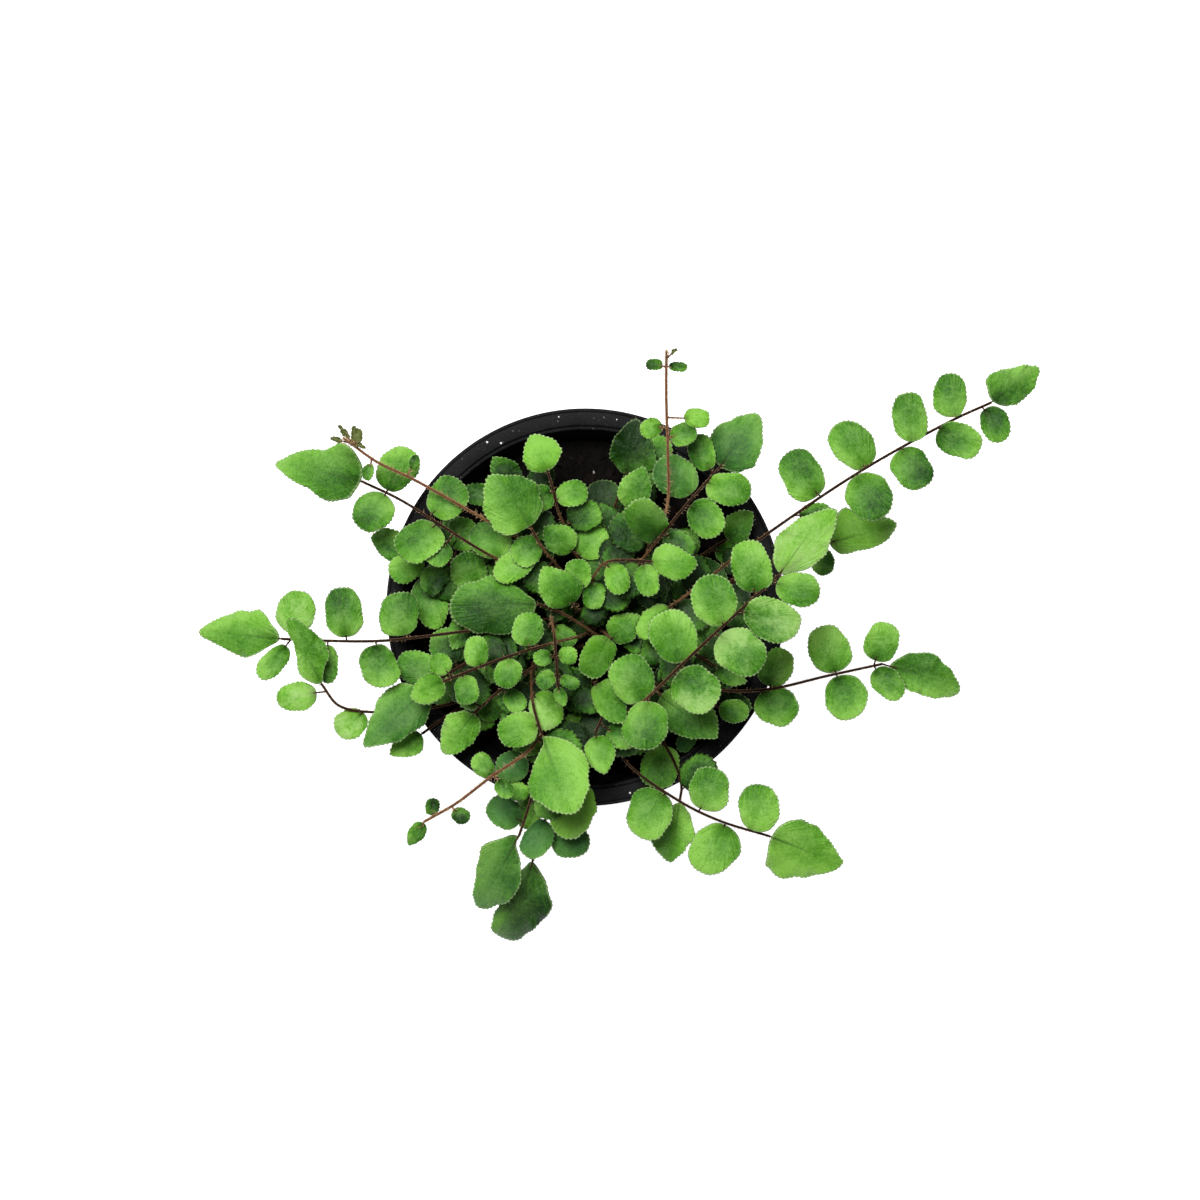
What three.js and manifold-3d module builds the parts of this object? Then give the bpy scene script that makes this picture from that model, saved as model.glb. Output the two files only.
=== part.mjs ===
/*
 * Button fern in a round nursery pot.
 *
 * Millimetres, +Z up. The origin is the centre of the pot's base, where it stands.
 * The pot and the potting mix are turned bodies. Each frond is one body: a wiry stalk
 * that stands in a plain hole in the mix, with round leaflets left and right and a
 * pointed leaflet at its end.
 */
import * as THREE from 'three';
import { mergeVertices } from 'three/addons/utils/BufferGeometryUtils.js';
import Module from 'manifold-3d';

const wasm = await Module();
wasm.setup();

// Pot
const POT_HEIGHT = 95;
const RIM_RADIUS = 60;
const RIM_WIDTH = 5.2; // flat top of the turned-over rim
const RIM_DEPTH = 13; // height of the band that hangs from it
const RIM_ROUND = 1; // rounding of the rim's outer edge
const BAND_DRAFT = 0.4; // the band leans in by this towards its lower edge
const STEP_WIDTH = 1.2; // ledge just inside the rim
const STEP_DEPTH = 1.2;
const BASE_RADIUS = 42;
const WALL = 1.4;
const FLOOR = 2;
const CUT_PAST = 10; // tools that cut a hole run past the surface by this
const FOOT_HEIGHT = 3;
const FOOT_STEP = 1; // the foot stands in from the wall by this
const POT_SEGMENTS = 36;
const DRAIN_HOLES = 8;
const DRAIN_RADIUS = 4.5;
const DRAIN_CIRCLE = 31;
const DRAIN_SIDES = 8;

// Potting mix
const SOIL_LEVEL = 75;
const SOIL_GAP = 0.3; // clearance to the pot's wall and floor
const SOIL_MOUND = 1.5; // rise from the wall to the middle
const SOIL_LUMPS = [ // crossing waves on top: height, and pitch along x and y
  { height: 0.6, pitchX: 20, pitchY: 23 },
  { height: 0.4, pitchX: 13, pitchY: 31 },
];
const SOIL_RINGS = 2;
const SOIL_SEGMENTS = 18;
const STALK_DEPTH = 12; // length of a stalk below the surface
const HOLE_GAP = 1; // a hole is wider than its stalk by this all round, and deeper
const HOLE_SIDES = 4;

// Fronds
const STALK_RADIUS = 0.66;
const STALK_SIDES = 4;
const STALK_STEP_LENGTH = 13;
const BEADS_PER_STEP = 4; // places on each step where a leaflet may join
const STALK_COLLAR = 8; // a stalk rises straight up this far above the mix before it leans
const BLADE_THICKNESS = 0.8;
const NECK_HALF_WIDTH = 0.4; // where a leaflet meets the stalk
const BLADE_DOME = 0.07; // rise of the middle of a blade, as a share of its width
const BLADE_DROOP = 0.06; // fall of its tip, as a share of its length
const BLADE_RISE = 0.1; // a leaflet's middle lies above its joint by this share of the way out
const BLADE_ROLL = THREE.MathUtils.degToRad(9); // most that a blade leans to one side
const TOOTH = 0.045; // depth of the scallops along the edge, as a share of the half width
const OVAL = 2.3; // power of a side leaflet's oval: 2 is an ellipse, and more is squarer
const SHOULDER = 0.45; // powers of an end leaflet's outline, at its base and at its tip
const TAPER = 0.75;
const BARE_STALK = 0.3; // share of a stalk that carries no leaflets, unless the frond says otherwise
const AHEAD = 1.5; // a joint ahead of a leaflet's middle counts as this much further away
const COVERED = 100; // and so does one that the blade would reach over
const STEEPEST = { down: -0.5, up: 0.3 }; // slope of the leaflet at the end of a stalk
const SMALL_BLADE = 8.6; // a blade shorter than this has fewer edge points
const EDGE_POINTS = { small: 3, round: 5, pointed: 6 }; // on each side of a blade
const CURL_RADIUS = 1.7; // coiled tip of a young frond
const CURL_TUBE = 0.6;
const CURL_STEPS = 7;
const CURL_TURN = 1.55 * Math.PI;
const SEED = 20261;

// A leaflet that would touch another frond is bent up or down in these steps until it is clear.
const LIFT_STEP = 0.7;
const MOST_LIFTS = 13;
const CLEARANCE = 0.22;
const SIBLING_SPREAD = 0.8; // leaflets of one frond may touch outside this share of a blade

/*
 * The fronds, from the top of the plant down. Each has a crown, where its stalk leaves the
 * mix (x, y), the points that its stalk runs through (x, y, z), the leaflet at its end and
 * those along it. A leaflet is the place of its middle seen from above (x, y), its length
 * and its width, and where it isn't flat, how far it is folded up along its midrib.
 */
const FRONDS = {
  centre_young: {
    crown: [-8, -7],
    stalk: [[-10, -5, 108], [-10, -3.5, 124], [-9, -9, 132], [-8.5, -16, 134], [-8, -23, 133]],
    end: [-7, -26.5, 6, 4],
    leaflets: [
      [-6, -8.5, 8, 6], [-12.5, -15, 5.5, 5], [-5, -14, 5.5, 5.5],
      [-11.5, -21.5, 6, 5.5], [-4.5, -22, 6, 4],
    ],
  },
  north_young: {
    crown: [13, 10],
    stalk: [[20, 20, 112], [24.5, 31, 132], [24.5, 45, 139], [24, 61, 140], [24, 74, 140]],
    curl: true,
    leaflets: [
      [20.5, 71.5, 5, 3.5], [27.5, 71, 5.5, 3], [19.5, 53, 6.5, 6],
      [29, 51, 8, 7], [33, 55.5, 7.5, 6],
    ],
  },
  northeast_long: {
    crown: [16, -5],
    stalk: [[28, 2, 116], [50, 19, 140], [81, 40, 146], [108, 55, 140], [120, 60.5, 134]],
    end: [127.5, 66, 18.5, 11.5],
    leaflets: [
      [64, 39, 15.5, 12.5], [78.5, 47.5, 15.5, 12], [96, 56, 14.5, 10.5], [108, 62.5, 13, 10],
      [68, 27.5, 10, 6], [83.5, 32.5, 14.5, 13], [96.5, 41, 13, 11.5],
      [110, 49, 13.5, 10.5], [121, 54, 11, 8.5],
    ],
  },
  east_front: {
    crown: [9, -27],
    stalk: [[11, -31, 108], [16, -29, 126], [31, -14.5, 141], [46, -0.5, 147], [57, 9.5, 147]],
    end: [64.5, 20, 25, 14],
    bare: 0.5,
    leaflets: [
      [13.5, -21.5, 14.5, 13.5], [26.5, -8.5, 16, 14], [38, 2, 15.5, 13], [49, 12, 15.5, 12],
      [18, -35, 14.5, 13.5], [32.5, -24.5, 14.5, 14], [45.5, -13.5, 15.5, 13.5],
      [55, -3, 17, 12.5], [62.5, 5, 13, 10],
    ],
  },
  northwest_young: {
    crown: [-8, 13],
    stalk: [[-19, 20, 110], [-34, 28.5, 127], [-51, 38, 133], [-61.5, 43, 134], [-70, 49, 136]],
    curl: true,
    leaflets: [[-64, 40, 5, 3.5], [-50.5, 43, 4.5, 3], [-67.5, 50.5, 5, 3.5]],
  },
  west_small_upper: {
    crown: [3, -7],
    stalk: [[-3, -9, 110], [-11, -11, 126], [-24, -15, 130], [-37, -20, 128], [-42, -22, 126]],
    end: [-47, -24.5, 11.5, 9],
    leaflets: [
      [-17, -6.5, 10, 9.5], [-32, -13, 9, 7.5], [-43, -17, 7, 6.5],
      [-23, -19.5, 9, 8], [-35, -24.5, 8.5, 7.5],
    ],
  },
  northeast_upper: {
    crown: [10, 4],
    stalk: [[13, 9, 106], [22, 20.5, 123], [31, 31.5, 128], [40, 41.5, 127]],
    end: [46, 49.5, 19.5, 15.5],
    leaflets: [
      [18.5, 26, 12.5, 11.5], [27, 39, 14, 12], [35, 46, 11, 8],
      [36, 26.5, 12, 10.5], [42.5, 35, 13.5, 10],
    ],
  },
  centre_east: {
    crown: [1, 2],
    stalk: [[2, 8, 110], [6.5, 13.5, 122], [13.5, 14, 126], [20, 13.5, 127]],
    end: [26.5, 13.5, 13.5, 12],
    leaflets: [[9.5, 8.5, 9.5, 7.5], [18.5, 8, 9.5, 7.5], [3, 3.5, 8, 7]],
  },
  northwest: {
    crown: [-11, 8],
    stalk: [[-20, 11.5, 106], [-31, 17, 121], [-43, 24.5, 125], [-55, 32, 124], [-66.5, 37.5, 119]],
    end: [-80, 40.5, 27.5, 19],
    leaflets: [
      [-28, 20.5, 12.5, 12], [-41, 32.5, 13, 12], [-55.5, 41, 14, 11.5],
      [-43.5, 16, 8, 8], [-49, 19.5, 14, 12.5], [-63, 28.5, 12.5, 11.5],
    ],
  },
  north_northwest: {
    crown: [-4, 8],
    stalk: [[-8, 12, 106], [-13.5, 19, 121], [-16, 23.5, 125]],
    end: [-21.5, 32, 19, 18],
    leaflets: [[-17.5, 17, 9.5, 9], [-21, 12, 13.5, 8.5]],
  },
  south_front: {
    crown: [-14, -11],
    stalk: [[-16, -19, 104], [-15.5, -29, 118], [-13, -37.5, 121]],
    end: [-8.5, -50, 24.5, 18],
    leaflets: [[-11.5, -30.5, 11.5, 10.5], [-20, -36.5, 12, 10.5]],
  },
  southwest_young: {
    crown: [-5, -15],
    stalk: [[-10, -31, 102], [-16, -42, 113], [-28, -50.5, 119], [-38.5, -58.5, 118], [-48, -64, 115]],
    end: [-50.5, -68, 8.5, 5],
    leaflets: [[-30.5, -47, 7.5, 6.5], [-24, -54, 6.5, 5], [-37, -62, 5.5, 5], [-45.5, -59.5, 5, 4.5]],
  },
  north_small: {
    crown: [0, 13],
    stalk: [[-4, 21, 103], [-8, 28.5, 115], [-9.5, 35, 118], [-11, 40, 118]],
    end: [-13.5, 46, 12, 12.5],
    leaflets: [[-13.5, 32.5, 8.5, 8], [-4, 34, 9.5, 8]],
  },
  west: {
    crown: [-9, -3],
    stalk: [[-22, -5.5, 104], [-38.5, -7.5, 116], [-60.5, -10, 115], [-78.5, -10, 110], [-91, -9.5, 105]],
    end: [-104, -8.5, 25, 15],
    leaflets: [
      [-55, -2, 13, 12.5], [-72, -1.5, 15, 11.5], [-86.5, -1.5, 13, 11.5],
      [-61, -17.5, 13, 11.5], [-77, -17, 11.5, 6], [-93.5, -16.5, 12.5, 7],
    ],
  },
  west_small_lower: {
    crown: [-1, -12],
    stalk: [[-6, -13.5, 102], [-14, -17, 114], [-25, -24.5, 117], [-33, -31.5, 113]],
    end: [-38, -38, 16, 12],
    leaflets: [[-21, -28, 7.5, 6.5], [-35.5, -27.5, 6.5, 5]],
  },
  centre_west: {
    crown: [-3, 0],
    stalk: [[-2, -1, 104], [-3.5, 0.5, 113]],
    end: [-8, 6.5, 14, 12.5],
    leaflets: [[-2, 10, 8.5, 8]],
  },
  south_centre: {
    crown: [7, -12],
    stalk: [[8, -20, 100], [5, -33, 113], [3, -37.5, 115]],
    end: [4.5, -44, 11.5, 9.5],
    leaflets: [[11, -38.5, 9.5, 8]],
  },
  west_southwest: {
    crown: [-13, -19],
    stalk: [[-28, -25, 94], [-45, -30, 101], [-62.5, -31.5, 106], [-73.5, -29.5, 112], [-78.5, -23, 118]],
    end: [-83.5, -13, 21, 12, 0.35],
    leaflets: [[-86, -26.5, 12, 8.5], [-70, -35, 10, 9], [-29, -30.5, 8, 8], [-44, -23.5, 12, 11]],
  },
  south_middle: {
    crown: [2, -16],
    stalk: [[2, -19, 98], [2.5, -22.5, 110]],
    end: [7.5, -28.5, 14, 10.5],
    leaflets: [],
  },
  southeast_middle: {
    crown: [12, -11],
    stalk: [[17, -19, 98], [23, -27, 109]],
    end: [31, -33, 21, 14],
    leaflets: [[44.5, -31, 9, 7, 0.4], [26, -20.5, 9, 8]],
  },
  west_middle: {
    crown: [8, -11],
    stalk: [[3, -8, 98], [-7.5, -1.5, 111], [-14, 1, 114]],
    end: [-27.5, 1, 26, 18],
    leaflets: [],
  },
  centre_north: {
    crown: [2, 9],
    stalk: [[0, 12, 98], [-3, 16, 109]],
    end: [-8, 20.5, 11, 9.5],
    leaflets: [[2, 19.5, 11, 10.5]],
  },
  north_middle: {
    crown: [7, 13],
    stalk: [[9, 17, 96], [12.5, 26, 108]],
    end: [15.5, 35.5, 13, 10],
    leaflets: [[12, 20, 12, 10.5]],
  },
  northeast_behind: {
    crown: [19, -6],
    stalk: [[34, 3, 100], [55, 13, 112], [72, 19, 113]],
    end: [83, 22, 21, 15],
    leaflets: [[71, 13.5, 8, 7], [26, 6, 11, 9]],
  },
  east: {
    crown: [17, -18],
    stalk: [[28, -23, 98], [42, -25, 108], [55, -24.5, 112], [72.5, -20.5, 112], [89, -17, 108]],
    end: [102.5, -21, 23, 13.5, 0.2],
    leaflets: [
      [57, -18, 12, 10], [73, -12.5, 14.5, 12.5], [89, -10.5, 12, 10.5],
      [57, -30, 12.5, 12], [77.5, -27, 13.5, 12.5], [90.5, -23, 11.5, 8.5],
    ],
  },
  east_middle: {
    crown: [13, -2],
    stalk: [[19, -6, 98], [30, -12.5, 107], [38, -17, 108]],
    end: [44, -20, 10, 7],
    leaflets: [[37, -10, 10, 9], [21.5, -12, 10, 9]],
  },
  southeast: {
    crown: [3, -20],
    stalk: [[7, -34, 98], [12, -46, 105], [28, -58, 106], [40, -64, 103], [55.5, -69, 97]],
    end: [67, -73.5, 24, 18.5],
    leaflets: [[37, -54.5, 13, 12.5], [52.5, -60.5, 14, 12.5], [38.5, -72.5, 16, 14], [19.5, -62, 15, 14]],
  },
  southwest: {
    crown: [-16, -9],
    stalk: [[-28, -13.5, 98], [-38, -18, 107], [-47, -24, 108]],
    end: [-57, -33.5, 24.5, 16],
    leaflets: [[-50, -18.5, 13.5, 10.5], [-21, -15, 9, 9], [-31, -19.5, 9, 9], [-42, -12, 11, 10]],
  },
  west_northwest: {
    crown: [-16, 4],
    stalk: [[-30, 9, 98], [-44, 14, 106], [-53, 17, 107]],
    end: [-59, 19, 12, 9.5],
    leaflets: [[-53.5, 12, 11, 9], [-37, 22, 10, 10]],
  },
  northeast_low: {
    crown: [18, 3],
    stalk: [[28, 11, 96], [38, 17.5, 103], [42, 20, 104]],
    end: [46.5, 24.5, 11, 9],
    leaflets: [[45, 16, 12, 8], [37, 9.5, 12, 10], [29, 19, 9, 8]],
  },
  south_low: {
    crown: [0, -26],
    stalk: [[1, -38, 96], [1, -46, 103], [0, -52, 103]],
    end: [-3.5, -61, 18, 14.5],
    leaflets: [[-2.5, -37, 11, 9.5]],
  },
  west_low: {
    crown: [-11, 5],
    stalk: [[-21, 3.5, 95], [-32, 2, 103]],
    end: [-37, -7.5, 11.5, 9.5],
    leaflets: [[-35, 10.5, 12, 11]],
  },
  south_left: {
    crown: [-9, -20],
    stalk: [[-12, -37, 96], [-14.5, -51, 104], [-17, -60, 101], [-20, -69, 94]],
    end: [-26.5, -81, 26.5, 14.5],
    leaflets: [[-17.5, -41, 9, 8], [-22, -48, 10, 9.5], [-24.5, -62, 11, 9.5], [-11, -60, 9, 8]],
  },
  south_right: {
    crown: [-4, -25],
    stalk: [[-8, -42, 94], [-10.5, -55, 99], [-12.5, -66, 92], [-16, -77, 81]],
    end: [-20, -90.5, 27, 16],
    leaflets: [[-14.5, -70, 12, 9], [-4.5, -71, 11.5, 10]],
  },
  centre_low: {
    crown: [2, -4],
    stalk: [[5, -7, 94], [8, -9.5, 101]],
    end: [12, -6, 11, 9.5],
    leaflets: [[4, -15, 13, 10]],
  },
  west_inner: {
    crown: [-19, 10],
    stalk: [[-33, 14, 92], [-45, 13.5, 99], [-48.5, 9, 100]],
    end: [-46.5, 1.5, 16.5, 12],
    leaflets: [],
  },
  southwest_low: {
    crown: [-14, -15],
    stalk: [[-28, -24, 90], [-42, -33, 97], [-49, -38, 98.5]],
    end: [-54, -41.5, 11, 8],
    leaflets: [],
  },
  south_folded: {
    crown: [12, -21],
    stalk: [[20, -35, 92], [27, -47, 98], [29, -54, 98.5], [28.5, -58, 97]],
    end: [27, -68, 19, 15, 0.55],
    leaflets: [[22.5, -48, 13, 12]],
  },
  north_low: {
    crown: [-7, 15],
    stalk: [[-14, 27, 90], [-19, 35, 95]],
    end: [-24, 41, 11, 9],
    leaflets: [[-13.5, 38.5, 10, 8], [-31, 34, 13, 7]],
  },
  north_deep: {
    crown: [4, 18],
    stalk: [[8, 28, 89], [11, 36, 95], [12.5, 39.5, 97]],
    end: [14, 48, 16.5, 14],
    leaflets: [[6, 31.5, 14, 12], [17, 39.5, 11, 9], [21, 46, 12, 9]],
  },
  southeast_deep: {
    crown: [20, -15],
    stalk: [[31, -24, 88], [39, -28.5, 92]],
    end: [45, -29.5, 10, 8],
    leaflets: [[31, -39, 10, 6]],
  },
};

// Solids and meshes

function solid(geometry) {
  const bare = geometry.clone();
  bare.deleteAttribute('normal');
  bare.deleteAttribute('uv');
  const merged = mergeVertices(bare, 1e-4);
  return new wasm.Manifold(new wasm.Mesh({
    numProp: 3,
    vertProperties: new Float32Array(merged.attributes.position.array),
    triVerts: new Uint32Array(merged.index.array),
  }));
}

function meshOf(name, body, material) {
  const mesh = body.getMesh();
  const geometry = new THREE.BufferGeometry();
  geometry.setAttribute('position', new THREE.BufferAttribute(new Float32Array(mesh.vertProperties), 3));
  geometry.setIndex(new THREE.BufferAttribute(new Uint32Array(mesh.triVerts), 1));
  geometry.computeVertexNormals();
  const node = new THREE.Mesh(geometry, material);
  node.name = name;
  return node;
}

function overlaps(first, second) {
  return !first.intersect(second).isEmpty();
}

// A profile of [radius, height] points, anticlockwise, turned about the Z axis
function latheOf(profile, segments) {
  const geometry = new THREE.LatheGeometry(profile.map(([r, z]) => new THREE.Vector2(r, z)), segments);
  return geometry.rotateX(Math.PI / 2);
}

function post(x, y, bottom, top, radius, sides) {
  const geometry = new THREE.CylinderGeometry(radius, radius, top - bottom, sides);
  return solid(geometry.rotateX(Math.PI / 2).translate(x, y, (bottom + top) / 2));
}

// Pot: one moulded piece with a turned-over rim, open underneath, and a ring of drain holes

const wallTop = RIM_RADIUS - RIM_WIDTH - STEP_WIDTH; // inner radius there

function innerRadius(z) {
  return THREE.MathUtils.mapLinear(z, 0, POT_HEIGHT, BASE_RADIUS - FOOT_STEP / 2, wallTop);
}

function potBody() {
  const outer = (z) => innerRadius(z) + WALL;
  const top = POT_HEIGHT;
  const bandFoot = top - RIM_DEPTH;
  let body = solid(latheOf([
    [0, 0],
    [BASE_RADIUS - FOOT_STEP, 0],
    [BASE_RADIUS - FOOT_STEP, FOOT_HEIGHT],
    [outer(FOOT_HEIGHT), FOOT_HEIGHT],
    [outer(top - WALL), top - WALL - STEP_DEPTH],
    [RIM_RADIUS - WALL, top - WALL - STEP_DEPTH / 2],
    [RIM_RADIUS - BAND_DRAFT - WALL, bandFoot],
    [RIM_RADIUS - BAND_DRAFT, bandFoot],
    [RIM_RADIUS, top - RIM_ROUND],
    [RIM_RADIUS - RIM_ROUND, top],
    [RIM_RADIUS - RIM_WIDTH, top],
    [RIM_RADIUS - RIM_WIDTH, top - STEP_DEPTH],
    [wallTop, top - STEP_DEPTH],
    [innerRadius(FLOOR), FLOOR],
    [0, FLOOR],
  ], POT_SEGMENTS));
  for (let i = 0; i < DRAIN_HOLES; i++) {
    const angle = (2 * Math.PI * i) / DRAIN_HOLES;
    const x = DRAIN_CIRCLE * Math.cos(angle);
    const y = DRAIN_CIRCLE * Math.sin(angle);
    body = body.subtract(post(x, y, -CUT_PAST, FLOOR + CUT_PAST, DRAIN_RADIUS, DRAIN_SIDES));
  }
  return body;
}

// Potting mix: fills the pot, with a lumpy top and a plain hole for each stalk

function soilHeight(x, y) {
  const share = Math.hypot(x, y) / innerRadius(SOIL_LEVEL);
  const mound = SOIL_MOUND * (1 - share * share);
  const lumps = SOIL_LUMPS.map(({ height, pitchX, pitchY }) => (
    height * Math.sin((2 * Math.PI * x) / pitchX) * Math.cos((2 * Math.PI * y) / pitchY)
  ));
  return lumps.reduce((total, lump) => total + lump, SOIL_LEVEL + mound);
}

function soilBody() {
  const foot = FLOOR + SOIL_GAP;
  const topRadius = innerRadius(SOIL_LEVEL) - SOIL_GAP;
  const profile = [[0, foot], [innerRadius(foot) - SOIL_GAP, foot], [topRadius, SOIL_LEVEL]];
  for (let ring = SOIL_RINGS - 1; ring >= 0; ring--) {
    profile.push([(topRadius * ring) / SOIL_RINGS, SOIL_LEVEL]);
  }
  const geometry = latheOf(profile, SOIL_SEGMENTS);
  const position = geometry.attributes.position;
  const innerTop = (topRadius * (SOIL_RINGS - 0.5)) / SOIL_RINGS; // between the last two rings
  for (let i = 0; i < position.count; i++) {
    const x = position.getX(i);
    const y = position.getY(i);
    if (position.getZ(i) > SOIL_LEVEL / 2 && Math.hypot(x, y) < innerTop) {
      position.setZ(i, soilHeight(x, y));
    }
  }
  let body = solid(geometry);
  for (const { crown: [x, y] } of Object.values(FRONDS)) {
    const bottom = SOIL_LEVEL - STALK_DEPTH - HOLE_GAP;
    body = body.subtract(post(x, y, bottom, SOIL_LEVEL + CUT_PAST, STALK_RADIUS + HOLE_GAP, HOLE_SIDES));
  }
  return body;
}

// Fronds

// The same random numbers each time, by a linear congruential generator of 32 bits
let draw = SEED;
function random() {
  draw = (Math.imul(draw, 1664525) + 1013904223) >>> 0;
  return draw / 2 ** 32;
}

function stalkPath({ crown: [x, y], stalk }) {
  const foot = [SOIL_LEVEL - STALK_DEPTH, SOIL_LEVEL - STALK_DEPTH / 3, SOIL_LEVEL + STALK_COLLAR];
  const points = [...foot.map((z) => [x, y, z]), ...stalk].map((p) => new THREE.Vector3(...p));
  return new THREE.CatmullRomCurve3(points);
}

function stepsOf(path) {
  return Math.ceil(path.getLength() / STALK_STEP_LENGTH);
}

function stalkBody(path, radius, steps) {
  const corners = [];
  for (let i = 0; i < STALK_SIDES; i++) {
    const angle = (2 * Math.PI * i) / STALK_SIDES;
    corners.push(new THREE.Vector2(radius * Math.cos(angle), radius * Math.sin(angle)));
  }
  const section = new THREE.Shape(corners);
  return solid(new THREE.ExtrudeGeometry(section, { steps, extrudePath: path, bevelEnabled: false }));
}

// Coiled tip of a young frond: the stalk's end turns up, back and round on itself.
function curlBody(path) {
  const tip = path.getPoint(1);
  const ahead = path.getTangent(1).setZ(0).normalize();
  const points = [];
  for (let i = -1; i <= CURL_STEPS; i++) {
    const angle = (CURL_TURN * i) / CURL_STEPS;
    const out = CURL_RADIUS * Math.sin(angle);
    const up = CURL_RADIUS * (1 - Math.cos(angle));
    points.push(tip.clone().addScaledVector(ahead, out).add(new THREE.Vector3(0, 0, up)));
  }
  return stalkBody(new THREE.CatmullRomCurve3(points), CURL_TUBE, CURL_STEPS + 1);
}

// Half width of a blade, as a share of its width, at share s of the way from base to tip:
// a rounded oval, or a broad shoulder near the base that narrows to a point
const shoulderPlace = SHOULDER / (SHOULDER + TAPER);
const shoulderWidth = shoulderPlace ** SHOULDER * (1 - shoulderPlace) ** TAPER;
const OUTLINES = {
  round: (s) => 0.5 * (1 - Math.abs(2 * s - 1) ** OVAL) ** (1 / OVAL),
  pointed: (s) => (0.5 * s ** SHOULDER * (1 - s) ** TAPER) / shoulderWidth,
};

// The leaflet's joint: the nearest place on the stalk that its blade doesn't reach over,
// rather behind the leaflet's middle than ahead of it
function jointOf(leaf, beads, bare) {
  const reach = (bead) => Math.hypot(bead.x - leaf.x, bead.y - leaf.y);
  const free = beads.slice(Math.floor(bare * beads.length));
  const nearest = free.reduce((best, bead) => (reach(bead) < reach(best) ? bead : best));
  const cost = (bead) => {
    const covered = reach(bead) < leaf.length / 2 ? COVERED : 0;
    const ahead = free.indexOf(bead) > free.indexOf(nearest) ? AHEAD : 0;
    return reach(bead) + covered + ahead;
  };
  return free.reduce((best, bead) => (cost(bead) < cost(best) ? bead : best));
}

// The blade as a closed fan of triangles round its middle, alike on both faces
function bladeBody(leaf, lift, { thickness = BLADE_THICKNESS, spread = 1, neck = true } = {}) {
  const middle = new THREE.Vector3(leaf.x, leaf.y, leaf.z + lift);
  const along = middle.clone().sub(leaf.joint).normalize();
  const across = new THREE.Vector3(0, 0, 1).cross(along).normalize().applyAxisAngle(along, leaf.roll);
  const up = along.clone().cross(across);
  along.divideScalar(Math.hypot(along.x, along.y)); // the length is as seen from above
  const { length, width, fold, outline } = leaf;

  const at = (s, side) => middle.clone()
    .addScaledVector(along, (s - 0.5) * length * spread)
    .addScaledVector(across, side * spread)
    .addScaledVector(up, fold * Math.abs(side) - BLADE_DROOP * length * Math.max(0, 2 * s - 1) ** 2);

  const count = EDGE_POINTS[length < SMALL_BLADE ? 'small' : outline];
  const edge = [];
  for (const hand of [-1, 1]) {
    const run = [];
    for (let i = 1; i <= count; i++) {
      const s = (1 - Math.cos((Math.PI * i) / (count + 1))) / 2;
      const tooth = 1 + TOOTH * (i % 2 ? 1 : -1);
      run.push(at(s, hand * OUTLINES[outline](s) * width * tooth));
    }
    edge.push(...(hand < 0 ? run : run.reverse()));
    if (hand < 0) edge.push(at(1, 0));
  }
  if (neck) {
    edge.push(leaf.joint.clone().addScaledVector(across, NECK_HALF_WIDTH));
    edge.push(leaf.joint.clone().addScaledVector(across, -NECK_HALF_WIDTH));
  } else {
    edge.push(at(0, 0));
  }

  middle.addScaledVector(up, BLADE_DOME * width);
  const ring = [middle, ...edge];
  const half = up.clone().multiplyScalar(thickness / 2);
  const top = ring.map((p) => p.clone().add(half));
  const bottom = ring.map((p) => p.clone().sub(half));
  const corners = [...top, ...bottom].flatMap((p) => [p.x, p.y, p.z]);
  const faces = [];
  const under = ring.length;
  for (let i = 1; i < ring.length; i++) {
    const next = i + 1 < ring.length ? i + 1 : 1;
    faces.push(0, i, next, under, under + next, under + i);
    faces.push(i, under + i, under + next, i, under + next, next);
  }
  return new wasm.Manifold(new wasm.Mesh({
    numProp: 3,
    vertProperties: new Float32Array(corners),
    triVerts: new Uint32Array(faces),
  }));
}

function leafletsOf(frond, path) {
  const corners = path.getSpacedPoints(stepsOf(path));
  const beads = [];
  for (let i = 0; i < (corners.length - 1) * BEADS_PER_STEP; i++) {
    const step = Math.floor(i / BEADS_PER_STEP);
    beads.push(corners[step].clone().lerp(corners[step + 1], (i % BEADS_PER_STEP) / BEADS_PER_STEP));
  }
  const endSlope = THREE.MathUtils.clamp(path.getTangent(1).z, STEEPEST.down, STEEPEST.up);
  const leaflets = frond.leaflets.map((entry) => ({ entry, outline: 'round' }));
  if (frond.end) leaflets.push({ entry: frond.end, outline: 'pointed' });
  return leaflets.map(({ entry: [x, y, length, width, fold = 0], outline }) => {
    const leaf = { x, y, length, width, fold, outline };
    leaf.joint = outline === 'pointed' ? path.getPoint(1) : jointOf(leaf, beads, frond.bare ?? BARE_STALK);
    const reach = Math.hypot(x - leaf.joint.x, y - leaf.joint.y);
    const slope = outline === 'pointed' ? endSlope : BLADE_RISE;
    leaf.z = leaf.joint.z + slope * reach;
    leaf.roll = BLADE_ROLL * (2 * random() - 1);
    return leaf;
  });
}

// Bends a leaflet up or down, least first, until it touches no other frond nor its own kind.
function clearBlade(leaf, others, siblings) {
  const thick = BLADE_THICKNESS + 2 * CLEARANCE;
  for (let step = 0; step <= 2 * MOST_LIFTS; step++) {
    const lift = LIFT_STEP * Math.ceil(step / 2) * (step % 2 ? 1 : -1);
    const whole = bladeBody(leaf, lift, { thickness: thick });
    const heart = bladeBody(leaf, lift, { spread: SIBLING_SPREAD, neck: false });
    const touches = others.some((other) => overlaps(whole, other));
    if (!touches && !siblings.some((sibling) => overlaps(heart, sibling))) return bladeBody(leaf, lift);
  }
  return null;
}

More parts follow.
